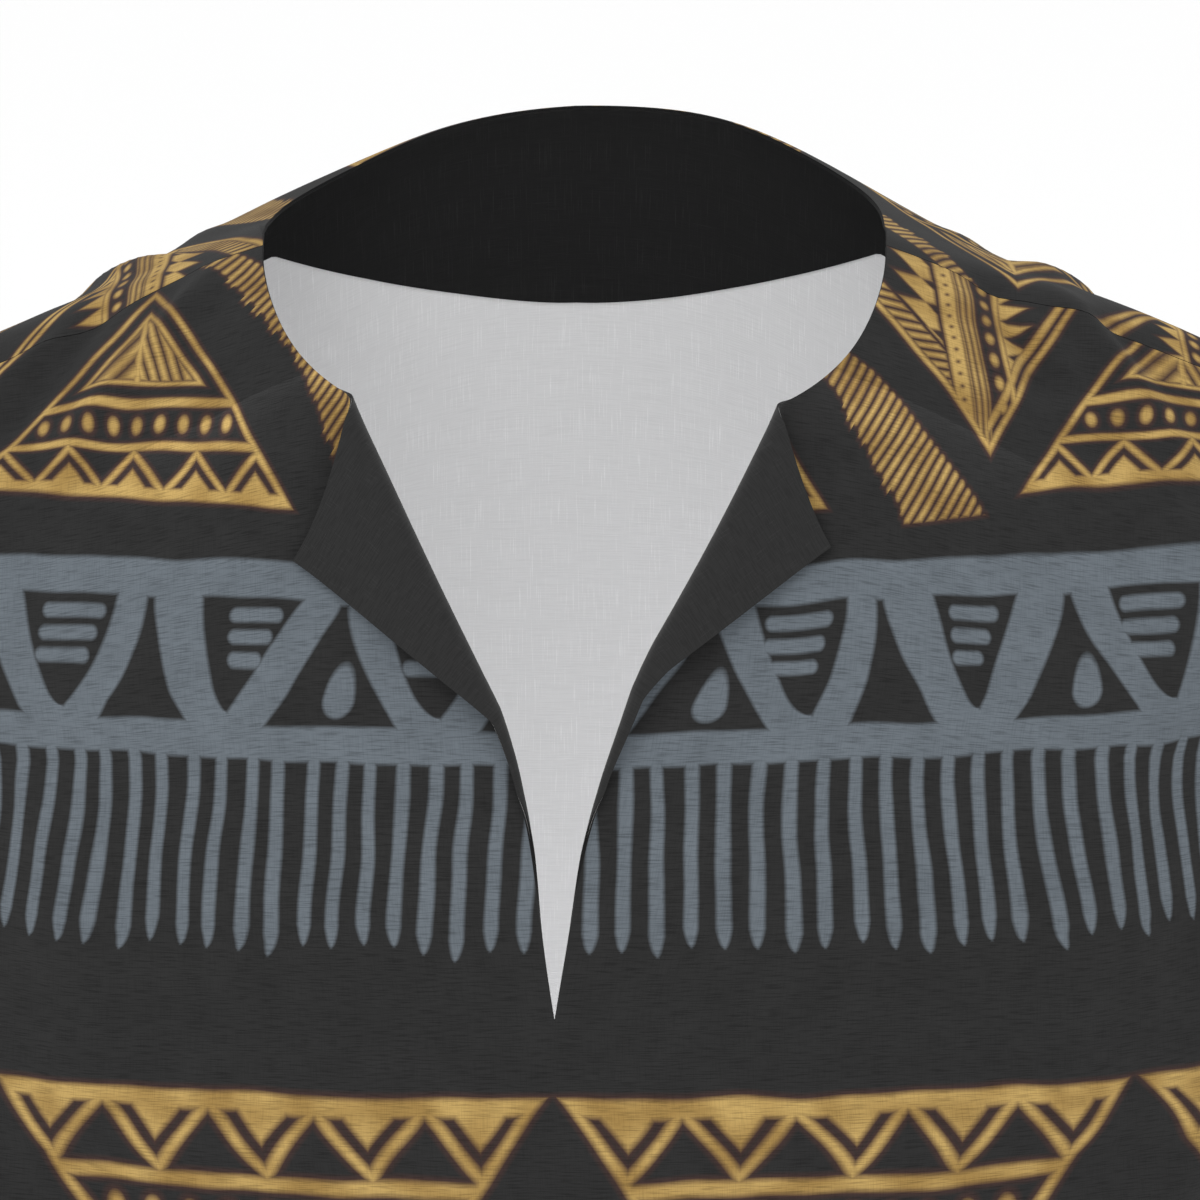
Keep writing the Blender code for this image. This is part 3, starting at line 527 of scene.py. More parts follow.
def sewn(name, outer, inner, quads, right_side, wrong_side, edge, **maps):
    """A cloth with its right side, its wrong side and its cut edge, and flat maps in metres as UV maps."""
    used = sorted({i for q in quads for i in q})
    number = {old: new for new, old in enumerate(used)}
    quads = [tuple(number[i] for i in q) for q in quads]
    count = len(used)
    faces = quads + [tuple(i + count for i in reversed(q)) for q in quads]
    directed = {(q[k], q[(k + 1) % 4]) for q in quads for k in range(4)}
    rim = [(b, a, a + count, b + count) for a, b in sorted(directed) if (b, a) not in directed]
    mesh = bpy.data.meshes.new(name)
    mesh.from_pydata(np.concatenate([outer[used], inner[used]]).tolist(), [], faces + rim)
    mesh.shade_smooth()
    for finish in (right_side, wrong_side, edge):
        mesh.materials.append(finish)
    kinds = [0] * len(quads) + [1] * len(quads) + [2] * len(rim)
    mesh.polygons.foreach_set("material_index", kinds)
    corners = np.empty(len(mesh.loops), int)
    mesh.loops.foreach_get("vertex_index", corners)
    for map_name, flat in maps.items():
        layer = mesh.uv_layers.new(name=map_name)
        layer.data.foreach_set("uv", flat[used][corners % count].ravel())
    mesh.update()
    mesh.set_sharp_from_angle(angle=math.radians(60))
    cloth = bpy.data.objects.new(name, mesh)
    bpy.context.scene.collection.objects.link(cloth)
    return cloth


# The print: millimetres across and down one flat repeat. Rows of gold triangles alternate with a
# grey-blue band and its comb. The repeat is 546 wide: three gold triangles, or four pairs of grey ones.
PRINT_TOP = 25
PRINT_DROP = 445
GOLD_REPEAT = 182
GREY_REPEAT = 136.5
SMALL_ROW_TOP = 45
SMALL_ROW_SHIFT = 152.5
SMALL_ROW_END = 280
LARGE_ROW_START = 290
LARGE_ROW_TIP = 457.6
LARGE_ROW_SHIFT = 90
LARGE_ROW_SCALE = 1.56
HAND_REPEATS = (28, 28)
HAND_ACROSS = 3.4
HAND_DOWN = 3.8
INK_EDGE = 1.4
HALO_REACH = 2.0
HALO_STRENGTH = 0.6
GOLD = (0.355, 0.221, 0.068)
PALE_GOLD = (0.490, 0.328, 0.112)
GREY_BLUE = (0.133, 0.154, 0.175)
CHARCOAL = (0.0254, 0.0254, 0.0254)
BROWN = (0.100, 0.040, 0.030)


class Ink:
    """A number on a material's node socket, with ordinary arithmetic."""

    def __init__(self, tree, socket):
        self.tree, self.socket = tree, socket

    def __add__(self, other):
        return maths("ADD", self, other)

    def __sub__(self, other):
        return maths("SUBTRACT", self, other)

    def __rsub__(self, other):
        return maths("SUBTRACT", other, self)

    def __mul__(self, other):
        return maths("MULTIPLY", self, other)

    def __truediv__(self, other):
        return maths("DIVIDE", self, other)

    __radd__ = __add__
    __rmul__ = __mul__


def maths(kind, *values, clamp=False):
    tree = next(value.tree for value in values if isinstance(value, Ink))
    node = tree.nodes.new("ShaderNodeMath")
    node.operation = kind
    node.use_clamp = clamp
    for slot, value in zip(node.inputs, values):
        if isinstance(value, Ink):
            tree.links.new(value.socket, slot)
        else:
            slot.default_value = value
    return Ink(tree, node.outputs[0])


def least(*values):
    result = values[0]
    for value in values[1:]:
        result = maths("MINIMUM", result, value)
    return result


def most(*values):
    result = values[0]
    for value in values[1:]:
        result = maths("MAXIMUM", result, value)
    return result


def size(value):
    return maths("ABSOLUTE", value)


def wrapped(value, low, high):
    return maths("WRAP", value, high, low)


def past_nearest(value, step):
    """How far a value lies past the nearest of marks that stand a step apart."""
    return wrapped(value, -step / 2, step / 2)


def length(a, b):
    return maths("SQRT", a * a + b * b)


def chance(tree, number, seed):
    """A fixed random number from 0 to 1 for each whole number."""
    node = tree.nodes.new("ShaderNodeTexWhiteNoise")
    node.noise_dimensions = "1D"
    tree.links.new((maths("FLOOR", number) + seed).socket, node.inputs["W"])
    return Ink(tree, node.outputs["Value"])


def noise(tree, vector, stretch, detail, roughness):
    """A noise over a flat map that is first stretched, given as repeats a metre across and down."""
    mapping = tree.nodes.new("ShaderNodeMapping")
    mapping.inputs["Scale"].default_value = (*stretch, 1)
    tree.links.new(vector, mapping.inputs["Vector"])
    node = tree.nodes.new("ShaderNodeTexNoise")
    node.noise_dimensions = "2D"
    node.inputs["Scale"].default_value = 1
    node.inputs["Detail"].default_value = detail
    node.inputs["Roughness"].default_value = roughness
    tree.links.new(mapping.outputs["Vector"], node.inputs["Vector"])
    return node


# A gold triangle has its apex at height 0. In it stand a fanned triangle, a row of dots between two
# lines, and a zigzag on a solid foot. SQUARE turns a distance across into one square to a side.
TRIANGLE_HEIGHT = 89.5
TRIANGLE_SPREAD = 0.631
TRIANGLE_SQUARE = 0.846
OUTLINE = 1.9
FAN_INSET = 6.6
FAN_FOOT = 46.0
FAN_STEP = 1.7
UPPER_LINE = 53.2
DOT_ROW = 61.6
DOT_STEP = 7.9
LOWER_LINE = 69.8
ZIGZAG_TOP = 70.6
ZIGZAG_STEP = 22
ZIGZAG_STEEPNESS = 1.38
ZIGZAG_SQUARE = 0.587
SOLID_FOOT = 85.6


def gold_triangle(x, h):
    """How deep a point lies in the gold of a triangle: minus outside, as in each function of the print."""
    side = (TRIANGLE_SPREAD * h - size(x)) * TRIANGLE_SQUARE
    inner = least(side - FAN_INSET, FAN_FOOT - h)
    fan = maths("PINGPONG", (x * 0.9 + most(-1 * x - 1, 0.0) * 1.3 - h * 0.28) / FAN_STEP, 1.0)
    fan = (fan - 0.45) * 1.5
    inner = least(inner, most(1.7 - inner, least(fan, inner - 2.4), 1.0 - size(x + 1.5)))
    line = least(1.75 - size(h - UPPER_LINE), side)
    dot = 1 - length(past_nearest(x, DOT_STEP) / 1.6, (h - DOT_ROW) / 2.8)
    dots = least(dot * 1.6, side - 3.6)
    lower = least(1.45 - size(h - LOWER_LINE), side)
    leg = (h - ZIGZAG_TOP) - ZIGZAG_STEEPNESS * size(past_nearest(x, ZIGZAG_STEP))
    zigzag = least(most(1.75 - size(leg - 1.6), leg - 8.2) * ZIGZAG_SQUARE, h - 69)
    gold = most(least(OUTLINE - side, side), inner, line, dots, lower, zigzag, h - SOLID_FOOT)
    return least(gold, side, TRIANGLE_HEIGHT - h)


# A striped triangle hangs with its tip at height 0. Across it, from the left: hatching, flags, a
# band of specks, pin stripes, dots, and a post with small teeth.
STRIPED_HEIGHT = 110
STRIPED_SPREAD = 0.53
STRIPED_SQUARE = 0.884
STRIPED_TIP = 118
STRIPED_MIDDLE = 115
SECOND_LINE = 5.0
BAND_MIDDLE = -7.6
SPECK_STEP = 5.2
PIN_STEP = 2.1
PINS_MIDDLE = -1.7
STRIPED_DOTS = 5.4
STRIPED_DOT_STEP = 9.4
POST = 9.6
TOOTH_STEP = 10
HATCH_STEP = 1.9
FLAG_STEP = 12


def striped_triangle(x, h):
    side = (STRIPED_SPREAD * h - size(x)) * STRIPED_SQUARE
    second = 1.2 - size(side - SECOND_LINE) - 2 * maths("LESS_THAN", x, 0.0)
    stripe = 2.7 - size(x - BAND_MIDDLE)
    speck = 0.7 - length(x - BAND_MIDDLE, past_nearest(h, SPECK_STEP))
    stripe = least(stripe, -1 * speck)
    pin = least(0.55 - size(past_nearest(x + 0.6, PIN_STEP)), 2.7 - size(x - PINS_MIDDLE))
    dot = (1 - length((x - STRIPED_DOTS) / 1.35, past_nearest(h, STRIPED_DOT_STEP) / 2.3)) * 1.35
    dot = least(dot, side - 1.5)
    post = 0.9 - size(x - POST)
    teeth = size(past_nearest(h, TOOTH_STEP)) * 1.5 - (x - 10.5)
    teeth = least(teeth * 0.5, x - 10.5, side - 6.4)
    hatch = maths("PINGPONG", (x * 0.2 + h) / HATCH_STEP, 1.0)
    hatch = least((hatch - 0.5) * 1.7, side - 2.6, 8.6 - side, -11.6 - x)
    flags = size(past_nearest(h + x, FLAG_STEP)) * 1.2 - size(x + 15)
    flags = least(flags * 0.6, side - 10.4, -12 - x)
    gold = most(OUTLINE - side, second, stripe, pin, dot, post, teeth, hatch, flags)
    return least(gold, side, STRIPED_HEIGHT - h)


STROKE_STEP = 4.1
STROKE_SLANT = 0.68
STROKE_RADIUS = 0.98
STRIP_TOP = 30
STRIP_FOOT = 139


def hatched_strip(tree, x, u, y):
    """A slanting strip of short strokes, each with its own ragged ends."""
    stroke = u + STROKE_SLANT * y
    ragged = (chance(tree, stroke / STROKE_STEP, 3) - 0.5) * 3.4
    left = least(19.5 + (y - 42) * 0.837, 55.5 + (y - 85) * 0.53)
    wide = 15 + (y - 40) * 0.13
    across = x - left + ragged
    beyond = most(1.1 - across, across - ragged - wide + 1.1, 0.0)
    strokes = STROKE_RADIUS - length(past_nearest(stroke, STROKE_STEP), beyond)
    return least(strokes * 0.83, y - STRIP_TOP, STRIP_FOOT - y)


# The grey band: dark shields hang and dark tents stand in it by turns, two kinds of each in a
# repeat. They lean a little outwards, and those on the two halves of the shirt differ.
BAND_TOP = 150.5
BAND_FOOT = 211.5
BAND_SHIFT = 207.5
SHIELD_TOP = 162
SHIELD_HEIGHT = 35.5
SHIELD_MIDDLE = 24
SECOND_SHIELD = 61
SHIELD_PARTING = 54.0
BARS_TOP = 164.1
BARS_FOOT = 185.1
BAR_STEP = 7.0
BAR_RADIUS = 2.2
TENT_TOP = 163
TENT_HEIGHT = 38
TENT_MIDDLE = 53.5
SECOND_TENT = 68.5
TENT_PARTING = 34.0
DROP_MIDDLE = 193.0
DROP_RADIUS = 5.3


def dark_shield(c, y, right):
    """A shield, round on its left and slanting or hollow on its right, crossed by three grey bars."""
    second = maths("GREATER_THAN", c, SHIELD_PARTING)
    x = c - SHIELD_MIDDLE - SECOND_SHIELD * second
    t = maths("ADD", (y - SHIELD_TOP) / SHIELD_HEIGHT, 0.0, clamp=True)
    slant = 1 - maths("POWER", t, 1.8 - 0.8 * second)
    slant = (16.5 + 10 * second - (4.5 + 4.5 * second) * right) * slant - x
    round_side = (20 - 8 * second + (2 + 3 * second) * right) * maths("SQRT", 1 - t) + x
    shield = least(slant * 0.86, round_side * 0.9, y - SHIELD_TOP, SHIELD_TOP + SHIELD_HEIGHT - y)
    number = maths("FLOOR", (y - BARS_TOP) / BAR_STEP)
    half = 12.2 - 2 * second - (0.9 + 1.1 * second) * number
    middle = 0.7 + 8.2 * second - (6.5 + 3.2 * second) * right - 1.7 * number
    beyond = most(size(x - middle) - half + BAR_RADIUS, 0.0)
    bar = BAR_RADIUS - length(beyond, wrapped(y - BARS_TOP, 0.0, BAR_STEP) - BAR_STEP / 2)
    bar = least(bar, y - BARS_TOP, BARS_FOOT - y)
    return least(shield, -1 * bar)


def dark_tent(c, y, right):
    """A tent with hollow sides. The second kind is wider and has a grey drop in it."""
    x = wrapped(c - TENT_MIDDLE, -TENT_PARTING, GREY_REPEAT - TENT_PARTING)
    second = maths("GREATER_THAN", x, TENT_PARTING)
    x = x - SECOND_TENT * second
    t = most((y - TENT_TOP) / TENT_HEIGHT, 0.0)
    x = x + (5.5 * right * (1 - second) - 4 * (1 - right) * second) * (1 - t)
    tent = 1.4 + (14.5 + 7.5 * second) * maths("POWER", t, 1.65 - 0.3 * second) - size(x)
    tent = least(tent * 0.88, TENT_TOP + TENT_HEIGHT - y, y - TENT_TOP)
    rise = DROP_MIDDLE - y
    drop = length(x - 3 - 0.16 * rise, rise * (0.38 + 0.62 * maths("LESS_THAN", rise, 0.0)))
    drop = DROP_RADIUS - drop - most(rise, 0.0) * 0.10 - 30 * (1 - second)
    return least(tent, -1 * drop)


def grey_band(u, y):
    right = maths("GREATER_THAN", u, 0.0)
    lean = maths("ADD", u / 200, 0.5, clamp=True) - 0.5
    stretched = 0.05 * most(u - 60, 0.0)
    from_foot = TENT_TOP + TENT_HEIGHT - y
    c = wrapped(u + BAND_SHIFT + stretched + lean * 0.25 * from_foot, 0.0, GREY_REPEAT)
    dark = most(dark_shield(c, y, right), dark_tent(c, y, right))
    return least(y - BAND_TOP, BAND_FOOT - y, -1 * dark)


COMB_STEP = 10.92
COMB_TOP = 209
COMB_MIDDLE = 240
TOOTH_LENGTHS = (267.5, 5)
TOOTH_LEAN = 0.035
TOOTH_STAGGER = 1.6
TOOTH_HALF_WIDTH = 2.2
TOOTH_POINT = 0.95


def comb(tree, u, y):
    """Teeth that hang from the grey band, uneven in lean, width and length."""
    number = u / COMB_STEP
    lean = (chance(tree, number, 11) - 0.5) * TOOTH_LEAN
    stagger = (chance(tree, number, 29) - 0.5) * TOOTH_STAGGER
    x = wrapped(u - 0.3, 0.0, COMB_STEP) - COMB_STEP / 2 + stagger + lean * (y - COMB_MIDDLE)
    end = TOOTH_LENGTHS[0] + TOOTH_LENGTHS[1] * chance(tree, number, 47)
    half = least(TOOTH_HALF_WIDTH + (y - 211) * 0.004, maths("SQRT", most(end - y, 0.0)) * TOOTH_POINT)
    return least(half - size(x), y - COMB_TOP, end - y)


# The linen: how many of its threads lie in a metre, and how many slubs follow one another along one.
THREADS = 2700
SLUBS = 150
PRINT_SLUBS = 115
LIGHT_SLUBS = 60
CLOTH_ROUGHNESS = 0.92


def threads(tree, flat, slubs):
    """The linen's threads across and along, as two numbers near 0.5."""
    weft = noise(tree, flat, (slubs, THREADS), 1.0, 0.6)
    warp = noise(tree, flat, (THREADS, slubs), 1.0, 0.6)
    return Ink(tree, weft.outputs["Fac"]), Ink(tree, warp.outputs["Fac"])


def dark_slubs(weft):
    """1 on plain cloth, falling towards 0 in the darkest threads."""
    return maths("MULTIPLY_ADD", weft, -4.5, 3.15, clamp=True)


def colours_mixed(tree, amount, first, second):
    node = tree.nodes.new("ShaderNodeMix")
    node.data_type = "RGBA"
    for value, name in ((amount, "Factor"), (first, "A"), (second, "B")):
        slot = node.inputs[name]
        if isinstance(value, Ink):
            tree.links.new(value.socket, slot)
        elif isinstance(value, tuple):
            slot.default_value = (*value, 1)
        else:
            slot.default_value = value
    for output in node.outputs:
        if output.type == "RGBA":
            return Ink(tree, output)


def times_colour(tree, colour, amount):
    node = tree.nodes.new("ShaderNodeVectorMath")
    node.operation = "SCALE"
    if isinstance(colour, Ink):
        tree.links.new(colour.socket, node.inputs[0])
    else:
        node.inputs[0].default_value = colour
    tree.links.new(amount.socket, node.inputs["Scale"])
    return Ink(tree, node.outputs["Vector"])


def new_cloth(name, sheen):
    """An empty cloth material: its tree, its shader and its flat thread map."""
    finish = bpy.data.materials.new(name)
    finish.use_nodes = True
    tree = finish.node_tree
    shader = tree.nodes["Principled BSDF"]
    shader.inputs["Roughness"].default_value = CLOTH_ROUGHNESS
    shader.inputs["Specular IOR Level"].default_value = 0.06
    shader.inputs["Sheen Weight"].default_value = sheen
    shader.inputs["Sheen Roughness"].default_value = 0.6
    flat = tree.nodes.new("ShaderNodeUVMap")
    flat.uv_map = "threads"
    return finish, tree, shader, flat.outputs["UV"]


def woven(tree, shader, weft, height):
    """Relief of the threads."""
    relief = tree.nodes.new("ShaderNodeBump")
    relief.inputs["Strength"].default_value = 0.5
    relief.inputs["Distance"].default_value = height
    tree.links.new(weft.socket, relief.inputs["Height"])
    tree.links.new(relief.outputs["Normal"], shader.inputs["Normal"])


def printed_cloth():
    finish, tree, shader, flat = new_cloth("printed linen", 0.04)
    place = tree.nodes.new("ShaderNodeUVMap")
    place.uv_map = "print"
    hand = noise(tree, place.outputs["UV"], HAND_REPEATS, 1.0, 0.5)
    apart = tree.nodes.new("ShaderNodeSeparateXYZ")
    tree.links.new(place.outputs["UV"], apart.inputs[0])
    wobble = tree.nodes.new("ShaderNodeSeparateColor")
    tree.links.new(hand.outputs["Color"], wobble.inputs[0])
    u = Ink(tree, apart.outputs["X"]) * 1000 + (Ink(tree, wobble.outputs[0]) - 0.5) * HAND_ACROSS
    y = Ink(tree, apart.outputs["Y"]) * -1000 + (Ink(tree, wobble.outputs[1]) - 0.5) * HAND_DOWN
    y = wrapped(y, PRINT_TOP, PRINT_TOP + PRINT_DROP)

    large = maths("GREATER_THAN", y, LARGE_ROW_START)
    x_small = past_nearest(u + SMALL_ROW_SHIFT, GOLD_REPEAT)
    x_large = past_nearest(u - LARGE_ROW_SHIFT, GOLD_REPEAT) / LARGE_ROW_SCALE
    h_small = y - SMALL_ROW_TOP
    h_large = (LARGE_ROW_TIP - y) / LARGE_ROW_SCALE
    triangles = gold_triangle(x_small + (x_large - x_small) * large, h_small + (h_large - h_small) * large)
    strip_x = wrapped(u + SMALL_ROW_SHIFT, 0.0, GOLD_REPEAT)
    strip = hatched_strip(tree, strip_x, u, y)
    turned = striped_triangle(strip_x - STRIPED_MIDDLE, STRIPED_TIP - y)
    gold = most(triangles, least(most(strip, turned), SMALL_ROW_END - y))
    grey = most(grey_band(u, y), comb(tree, u, y))

    halo = maths("ADD", gold / HALO_REACH, 1.0, clamp=True)
    gold = maths("ADD", gold / INK_EDGE, 0.5, clamp=True)
    grey = maths("ADD", grey / INK_EDGE, 0.5, clamp=True)
    weft, warp = threads(tree, flat, PRINT_SLUBS)
    mottle = Ink(tree, noise(tree, flat, (70, 70), 0.0, 0.6).outputs["Fac"])
    paleness = maths("MULTIPLY_ADD", mottle, 2.2, -0.6, clamp=True)
    golden = colours_mixed(tree, paleness, GOLD, PALE_GOLD)
    colour = colours_mixed(tree, halo * HALO_STRENGTH, CHARCOAL, BROWN)
    colour = colours_mixed(tree, gold, colour, golden)
    colour = colours_mixed(tree, grey, colour, GREY_BLUE)
    post = maths("MULTIPLY_ADD", warp, -3.0, 2.3, clamp=True)
    shade = (0.68 + 0.32 * dark_slubs(weft)) * (0.86 + 0.14 * post) * (0.92 + 0.16 * mottle)
    tree.links.new(times_colour(tree, colour, shade).socket, shader.inputs["Base Color"])
    woven(tree, shader, weft, 0.15 * MM)
    return finish


def plain_cloth(name, colour, dark_thread, light_thread, slubs=SLUBS):
    """Unprinted cloth: the shirt's wrong side, or a facing."""
    finish, tree, shader, flat = new_cloth(name, 0.03)
    weft, warp = threads(tree, flat, slubs)
    bright = maths("MULTIPLY_ADD", most(weft, warp), 6.0, -3.7, clamp=True)
    shade = 1 - dark_thread + dark_thread * dark_slubs(weft) + light_thread * bright
    tree.links.new(times_colour(tree, colour, shade).socket, shader.inputs["Base Color"])
    woven(tree, shader, weft, 0.12 * MM)
    return finish


PRINT = printed_cloth()
WRONG_SIDE = plain_cloth("unprinted linen", (0.665, 0.665, 0.67), 0.10, 0.15, LIGHT_SLUBS)
FACING = plain_cloth("charcoal linen", (0.0262, 0.0262, 0.0262), 0.30, 0.25)
# The half-moon's cloth: the same charcoal linen as the front facing, darkened as painted shade inside the
# back of the neck.
SHADED_FACING = plain_cloth("charcoal linen in painted shade", (0.0115, 0.0115, 0.0115), 0.30, 0.7, LIGHT_SLUBS)
EDGE = plain_cloth("dark cut edge", (0.012, 0.012, 0.012), 0.2, 0.1)

# How the print lies on the cloth: its lines stay level while the shoulder seams slope, and the
# slit was cut a little wide, so the print starts this far from its edges.
SLIT_CUT = 20.5
SLIT_CUT_FULL = -205
SLIT_CUT_NONE = -318
LEVEL_TO = 60
LEVEL_BLEND = 30
LEVEL_SPAN = 140
# The shoulder's fall for each height of the print, in millimetres.
LEVEL_FALL = ((0, 50), (-45, 48), (-134, 45), (-151, 31), (-211, 14), (-270, 1), (-320, 0), (-900, 0))
# The print is drawn together above a height, in the comb, and on the viewer's left low down.
EASE_FROM = 76.5
EASE = 0.89
EASE_BOTTOM = -158
EASE_BAND = 26
COMB_GATHER = ((-298, 0), (-268, 0.045), (-209, 0))
LEFT_EASE = 0.035
LEFT_EASE_TOP = -270
LEFT_EASE_BAND = 40
BACK_OFFSET = -4
BACK_DROP = -25


def level_line(out, over):
    """Height of the print at a point, in millimetres: over, less the fall of the shoulder there."""
    share = (hinge(out, LEVEL_TO, LEVEL_BLEND) - hinge(0, LEVEL_TO, LEVEL_BLEND)) / LEVEL_SPAN
    knots = np.array(LEVEL_FALL)[::-1]
    line = np.array(over, float)
    for _ in range(60):
        line = 0.5 * (line + over - np.interp(line, knots[:, 0], knots[:, 1]) * share)
    return line


def front_maps(side, share, row):
    """The print's and the threads' flat places of points of the front, in metres."""
    out, over = share * width_of(row) / MM, down_of(row) / MM
    cut = np.interp(over, (SLIT_CUT_NONE, SLIT_CUT_FULL), (0, SLIT_CUT))
    eased = np.where(out > EASE_FROM, EASE_FROM + (out - EASE_FROM) * EASE, out)
    line = level_line(out, over)
    upper = smooth((line - EASE_BOTTOM) / EASE_BAND)
    across = out + (eased - out) * upper + cut
    across = across * (1 + np.interp(line, *np.transpose(COMB_GATHER)))
    low_left = smooth((LEFT_EASE_TOP - over) / LEFT_EASE_BAND)
    across = across * np.where(side < 0, 1 - LEFT_EASE * low_left, 1)
    return np.stack([side * across, line], -1) * MM, np.stack([side * out, over], -1) * MM


share, row = np.stack([front_grid(0), front_grid(RIGHT_TUCK)], 1)
rows, columns = share.shape[1:]
half = rows * columns
front_side = np.repeat([-1, 1], half)
front_share, front_row = share.ravel(), row.ravel()
front_quads = grid_quads(rows, columns, True)
front_quads += [tuple(i + half for i in q) for q in grid_quads(rows, columns, False)]
middle = {half + i * columns: i * columns for i in range(BODY_ROWS + 1)}
front_quads = [tuple(middle.get(i, i) for i in q) for q in front_quads]
front_points = fronted(front_side, front_share, front_row)
front_out = outward(front_points, front_quads)
inner = front_points - front_out * CLOTH
print_map, thread_map = front_maps(front_side, front_share, front_row)
maps = {"print": print_map, "threads": thread_map}
front = sewn("front_panel", front_points, inner, front_quads, PRINT, WRONG_SIDE, EDGE, **maps)
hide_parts("front")
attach(front, "root")

# Front facing. A shield of plain charcoal linen sewn round the neckline and the slit and turned
# inside, which shows where the corners of the slit are turned out.

SHIELD_MARGIN = 15
SHIELD_COLUMNS = len(FLAP_STEPS) + ROLL_STEPS + SHIELD_MARGIN
SHIELD_TOP_COLUMNS = SHIELD_COLUMNS + CHEST_STEPS
SHIELD_TOP_ROWS = 24
SHIELD_FOOT_ROWS = 5
LAYER_GAP = 0.15 * MM


def shield_quad(quad):
    """True for the faces of the front that the shield facing backs."""
    spots = [divmod(i % half, columns) for i in quad]
    beside_slit = all(i >= BODY_ROWS - SHIELD_FOOT_ROWS and j <= SHIELD_COLUMNS for i, j in spots)
    top = BODY_ROWS + SLIT_ROWS - SHIELD_TOP_ROWS
    return beside_slit or all(i >= top and j <= SHIELD_TOP_COLUMNS for i, j in spots)


shield_quads = [q for q in front_quads if shield_quad(q)]
outer = front_points - front_out * (CLOTH + LAYER_GAP)
inner = outer - front_out * CLOTH
front_facing = sewn("front_neck_facing", outer, inner, shield_quads, FACING, FACING, EDGE, threads=thread_map)
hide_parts("front_facing")
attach(front_facing, "root")

# Back panel. One piece of the same printed cloth, from the neckline and the shoulder seams to the
# hem, in softer and fewer folds.

BACK_NECK_STEPS = 44
BACK_SHOULDER_STEPS = 46
HALF_MOON_ROWS = 34
BACK_MIDDLE_ROWS = 22
BACK_ARM_ROWS = 36
BACK_LOW_ROWS = 80
BACK_SPLIT_ROW = NAPE_ROW + 1.75
BACK_NECK_COLUMN_OUT = 128 * MM
HALF_MOON_MIDDLE = 163 * MM
HALF_MOON_SIDE = 109 * MM
HALF_MOON_CORNER = 62 * MM
NAPE_SQUARENESS = 3.6
EDGE_ROUNDS = 6


def back_neckline(angle):
    """Share and row on the back neckline, from the middle of the nape to the shoulder seam."""
    share = NECK_SHARE * np.sin(angle) ** (2 / NAPE_SQUARENESS)
    row = NAPE_ROW + (SEAM_ROW - NAPE_ROW) * (1 - np.cos(angle).clip(0) ** (2 / NAPE_SQUARENESS))
    return share, row


def half_moon_edge(share):
    """How far the half-moon's lower edge lies from the shoulder line, for a column's share at the top."""
    beside = np.clip(share / NECK_SHARE, 0, 1)
    inner = HALF_MOON_MIDDLE + (HALF_MOON_SIDE - HALF_MOON_MIDDLE) * beside**2
    corner = smooth((share - NECK_SHARE) / (1 - NECK_SHARE) * 2)
    return inner + (HALF_MOON_CORNER - inner) * corner


def back_grid():
    """Share and row of the whole back from the top down. The half-moon's lower edge is one of its rows."""
    even = np.sin(np.linspace(0, math.pi / 2, BACK_NECK_STEPS + 1))
    top_share, top_row = back_neckline(np.arcsin(even ** (NAPE_SQUARENESS / 2)))
    shoulder = np.linspace(NECK_SHARE, 1, BACK_SHOULDER_STEPS + 1)[1:]
    top_share = np.concatenate([top_share, shoulder])
    top_row = np.maximum(np.concatenate([top_row, seam_row(shoulder)]), seam_row(top_share) + SEAM_STEP)
    width = float(width_of(BACK_SPLIT_ROW))
    low_neck = np.linspace(0, BACK_NECK_COLUMN_OUT, BACK_NECK_STEPS + 1)
    low_side = np.linspace(BACK_NECK_COLUMN_OUT, width, BACK_SHOULDER_STEPS + 1)[1:]
    low_share = np.concatenate([low_neck, low_side]) / width
    moon_share = top_share
    for _ in range(EDGE_ROUNDS):
        moon_row = row_of(half_moon_edge(moon_share))
        moon_share = top_share + (low_share - top_share) * (moon_row - top_row) / (BACK_SPLIT_ROW - top_row)
    moon_fall = (np.arange(HALF_MOON_ROWS) / HALF_MOON_ROWS)[:, None]
    middle_fall = (np.arange(BACK_MIDDLE_ROWS) / BACK_MIDDLE_ROWS)[:, None]
    low_rows = np.linspace(BACK_SPLIT_ROW, BACK_CHEST_ROW, BACK_ARM_ROWS + 1)[:-1]
    low_rows = np.concatenate([low_rows, np.linspace(BACK_CHEST_ROW, LAST_ROW, BACK_LOW_ROWS + 1)])
    moon_rows = top_row + (moon_row - top_row) * moon_fall
    middle_rows = moon_row + (BACK_SPLIT_ROW - moon_row) * middle_fall
    row = np.concatenate([moon_rows, middle_rows, np.tile(low_rows[:, None], (1, len(low_share)))])
    fall = np.clip((row - top_row) / (BACK_SPLIT_ROW - top_row), 0, 1)
    share = top_share + (low_share - top_share) * fall
    share = np.minimum(share, 1 - SEAM_GAP / 2 / float(width_of(CHEST_ROW)))
    side = np.concatenate([np.full_like(share[:, :0:-1], -1), np.ones_like(share)], 1)
    share = np.concatenate([share[:, :0:-1], share], 1)
    row = np.concatenate([row[:, :0:-1], row], 1)
    return side, share, row


def back_maps(side, share, row):
    """The print's and the threads' flat places of points of the back, in metres."""
    out, over = share * width_of(row) / MM, down_of(row) / MM
    line = level_line(out, -over + BACK_DROP)
    return np.stack([BACK_OFFSET - side * out, line], -1) * MM, np.stack([side * out, over], -1) * MM


side, share, row = back_grid()
back_rows, back_columns = share.shape
back_points = draped(side, share, row).reshape(-1, 3)
back_quads = grid_quads(back_rows, back_columns, False)
back_out = outward(back_points, back_quads)
inner = back_points - back_out * CLOTH
print_map, thread_map = (flat.reshape(-1, 2) for flat in back_maps(side, share, row))
maps = {"print": print_map, "threads": thread_map}
back = sewn("back_panel", back_points, inner, back_quads, PRINT, WRONG_SIDE, EDGE, **maps)
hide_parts("back")
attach(back, "root")
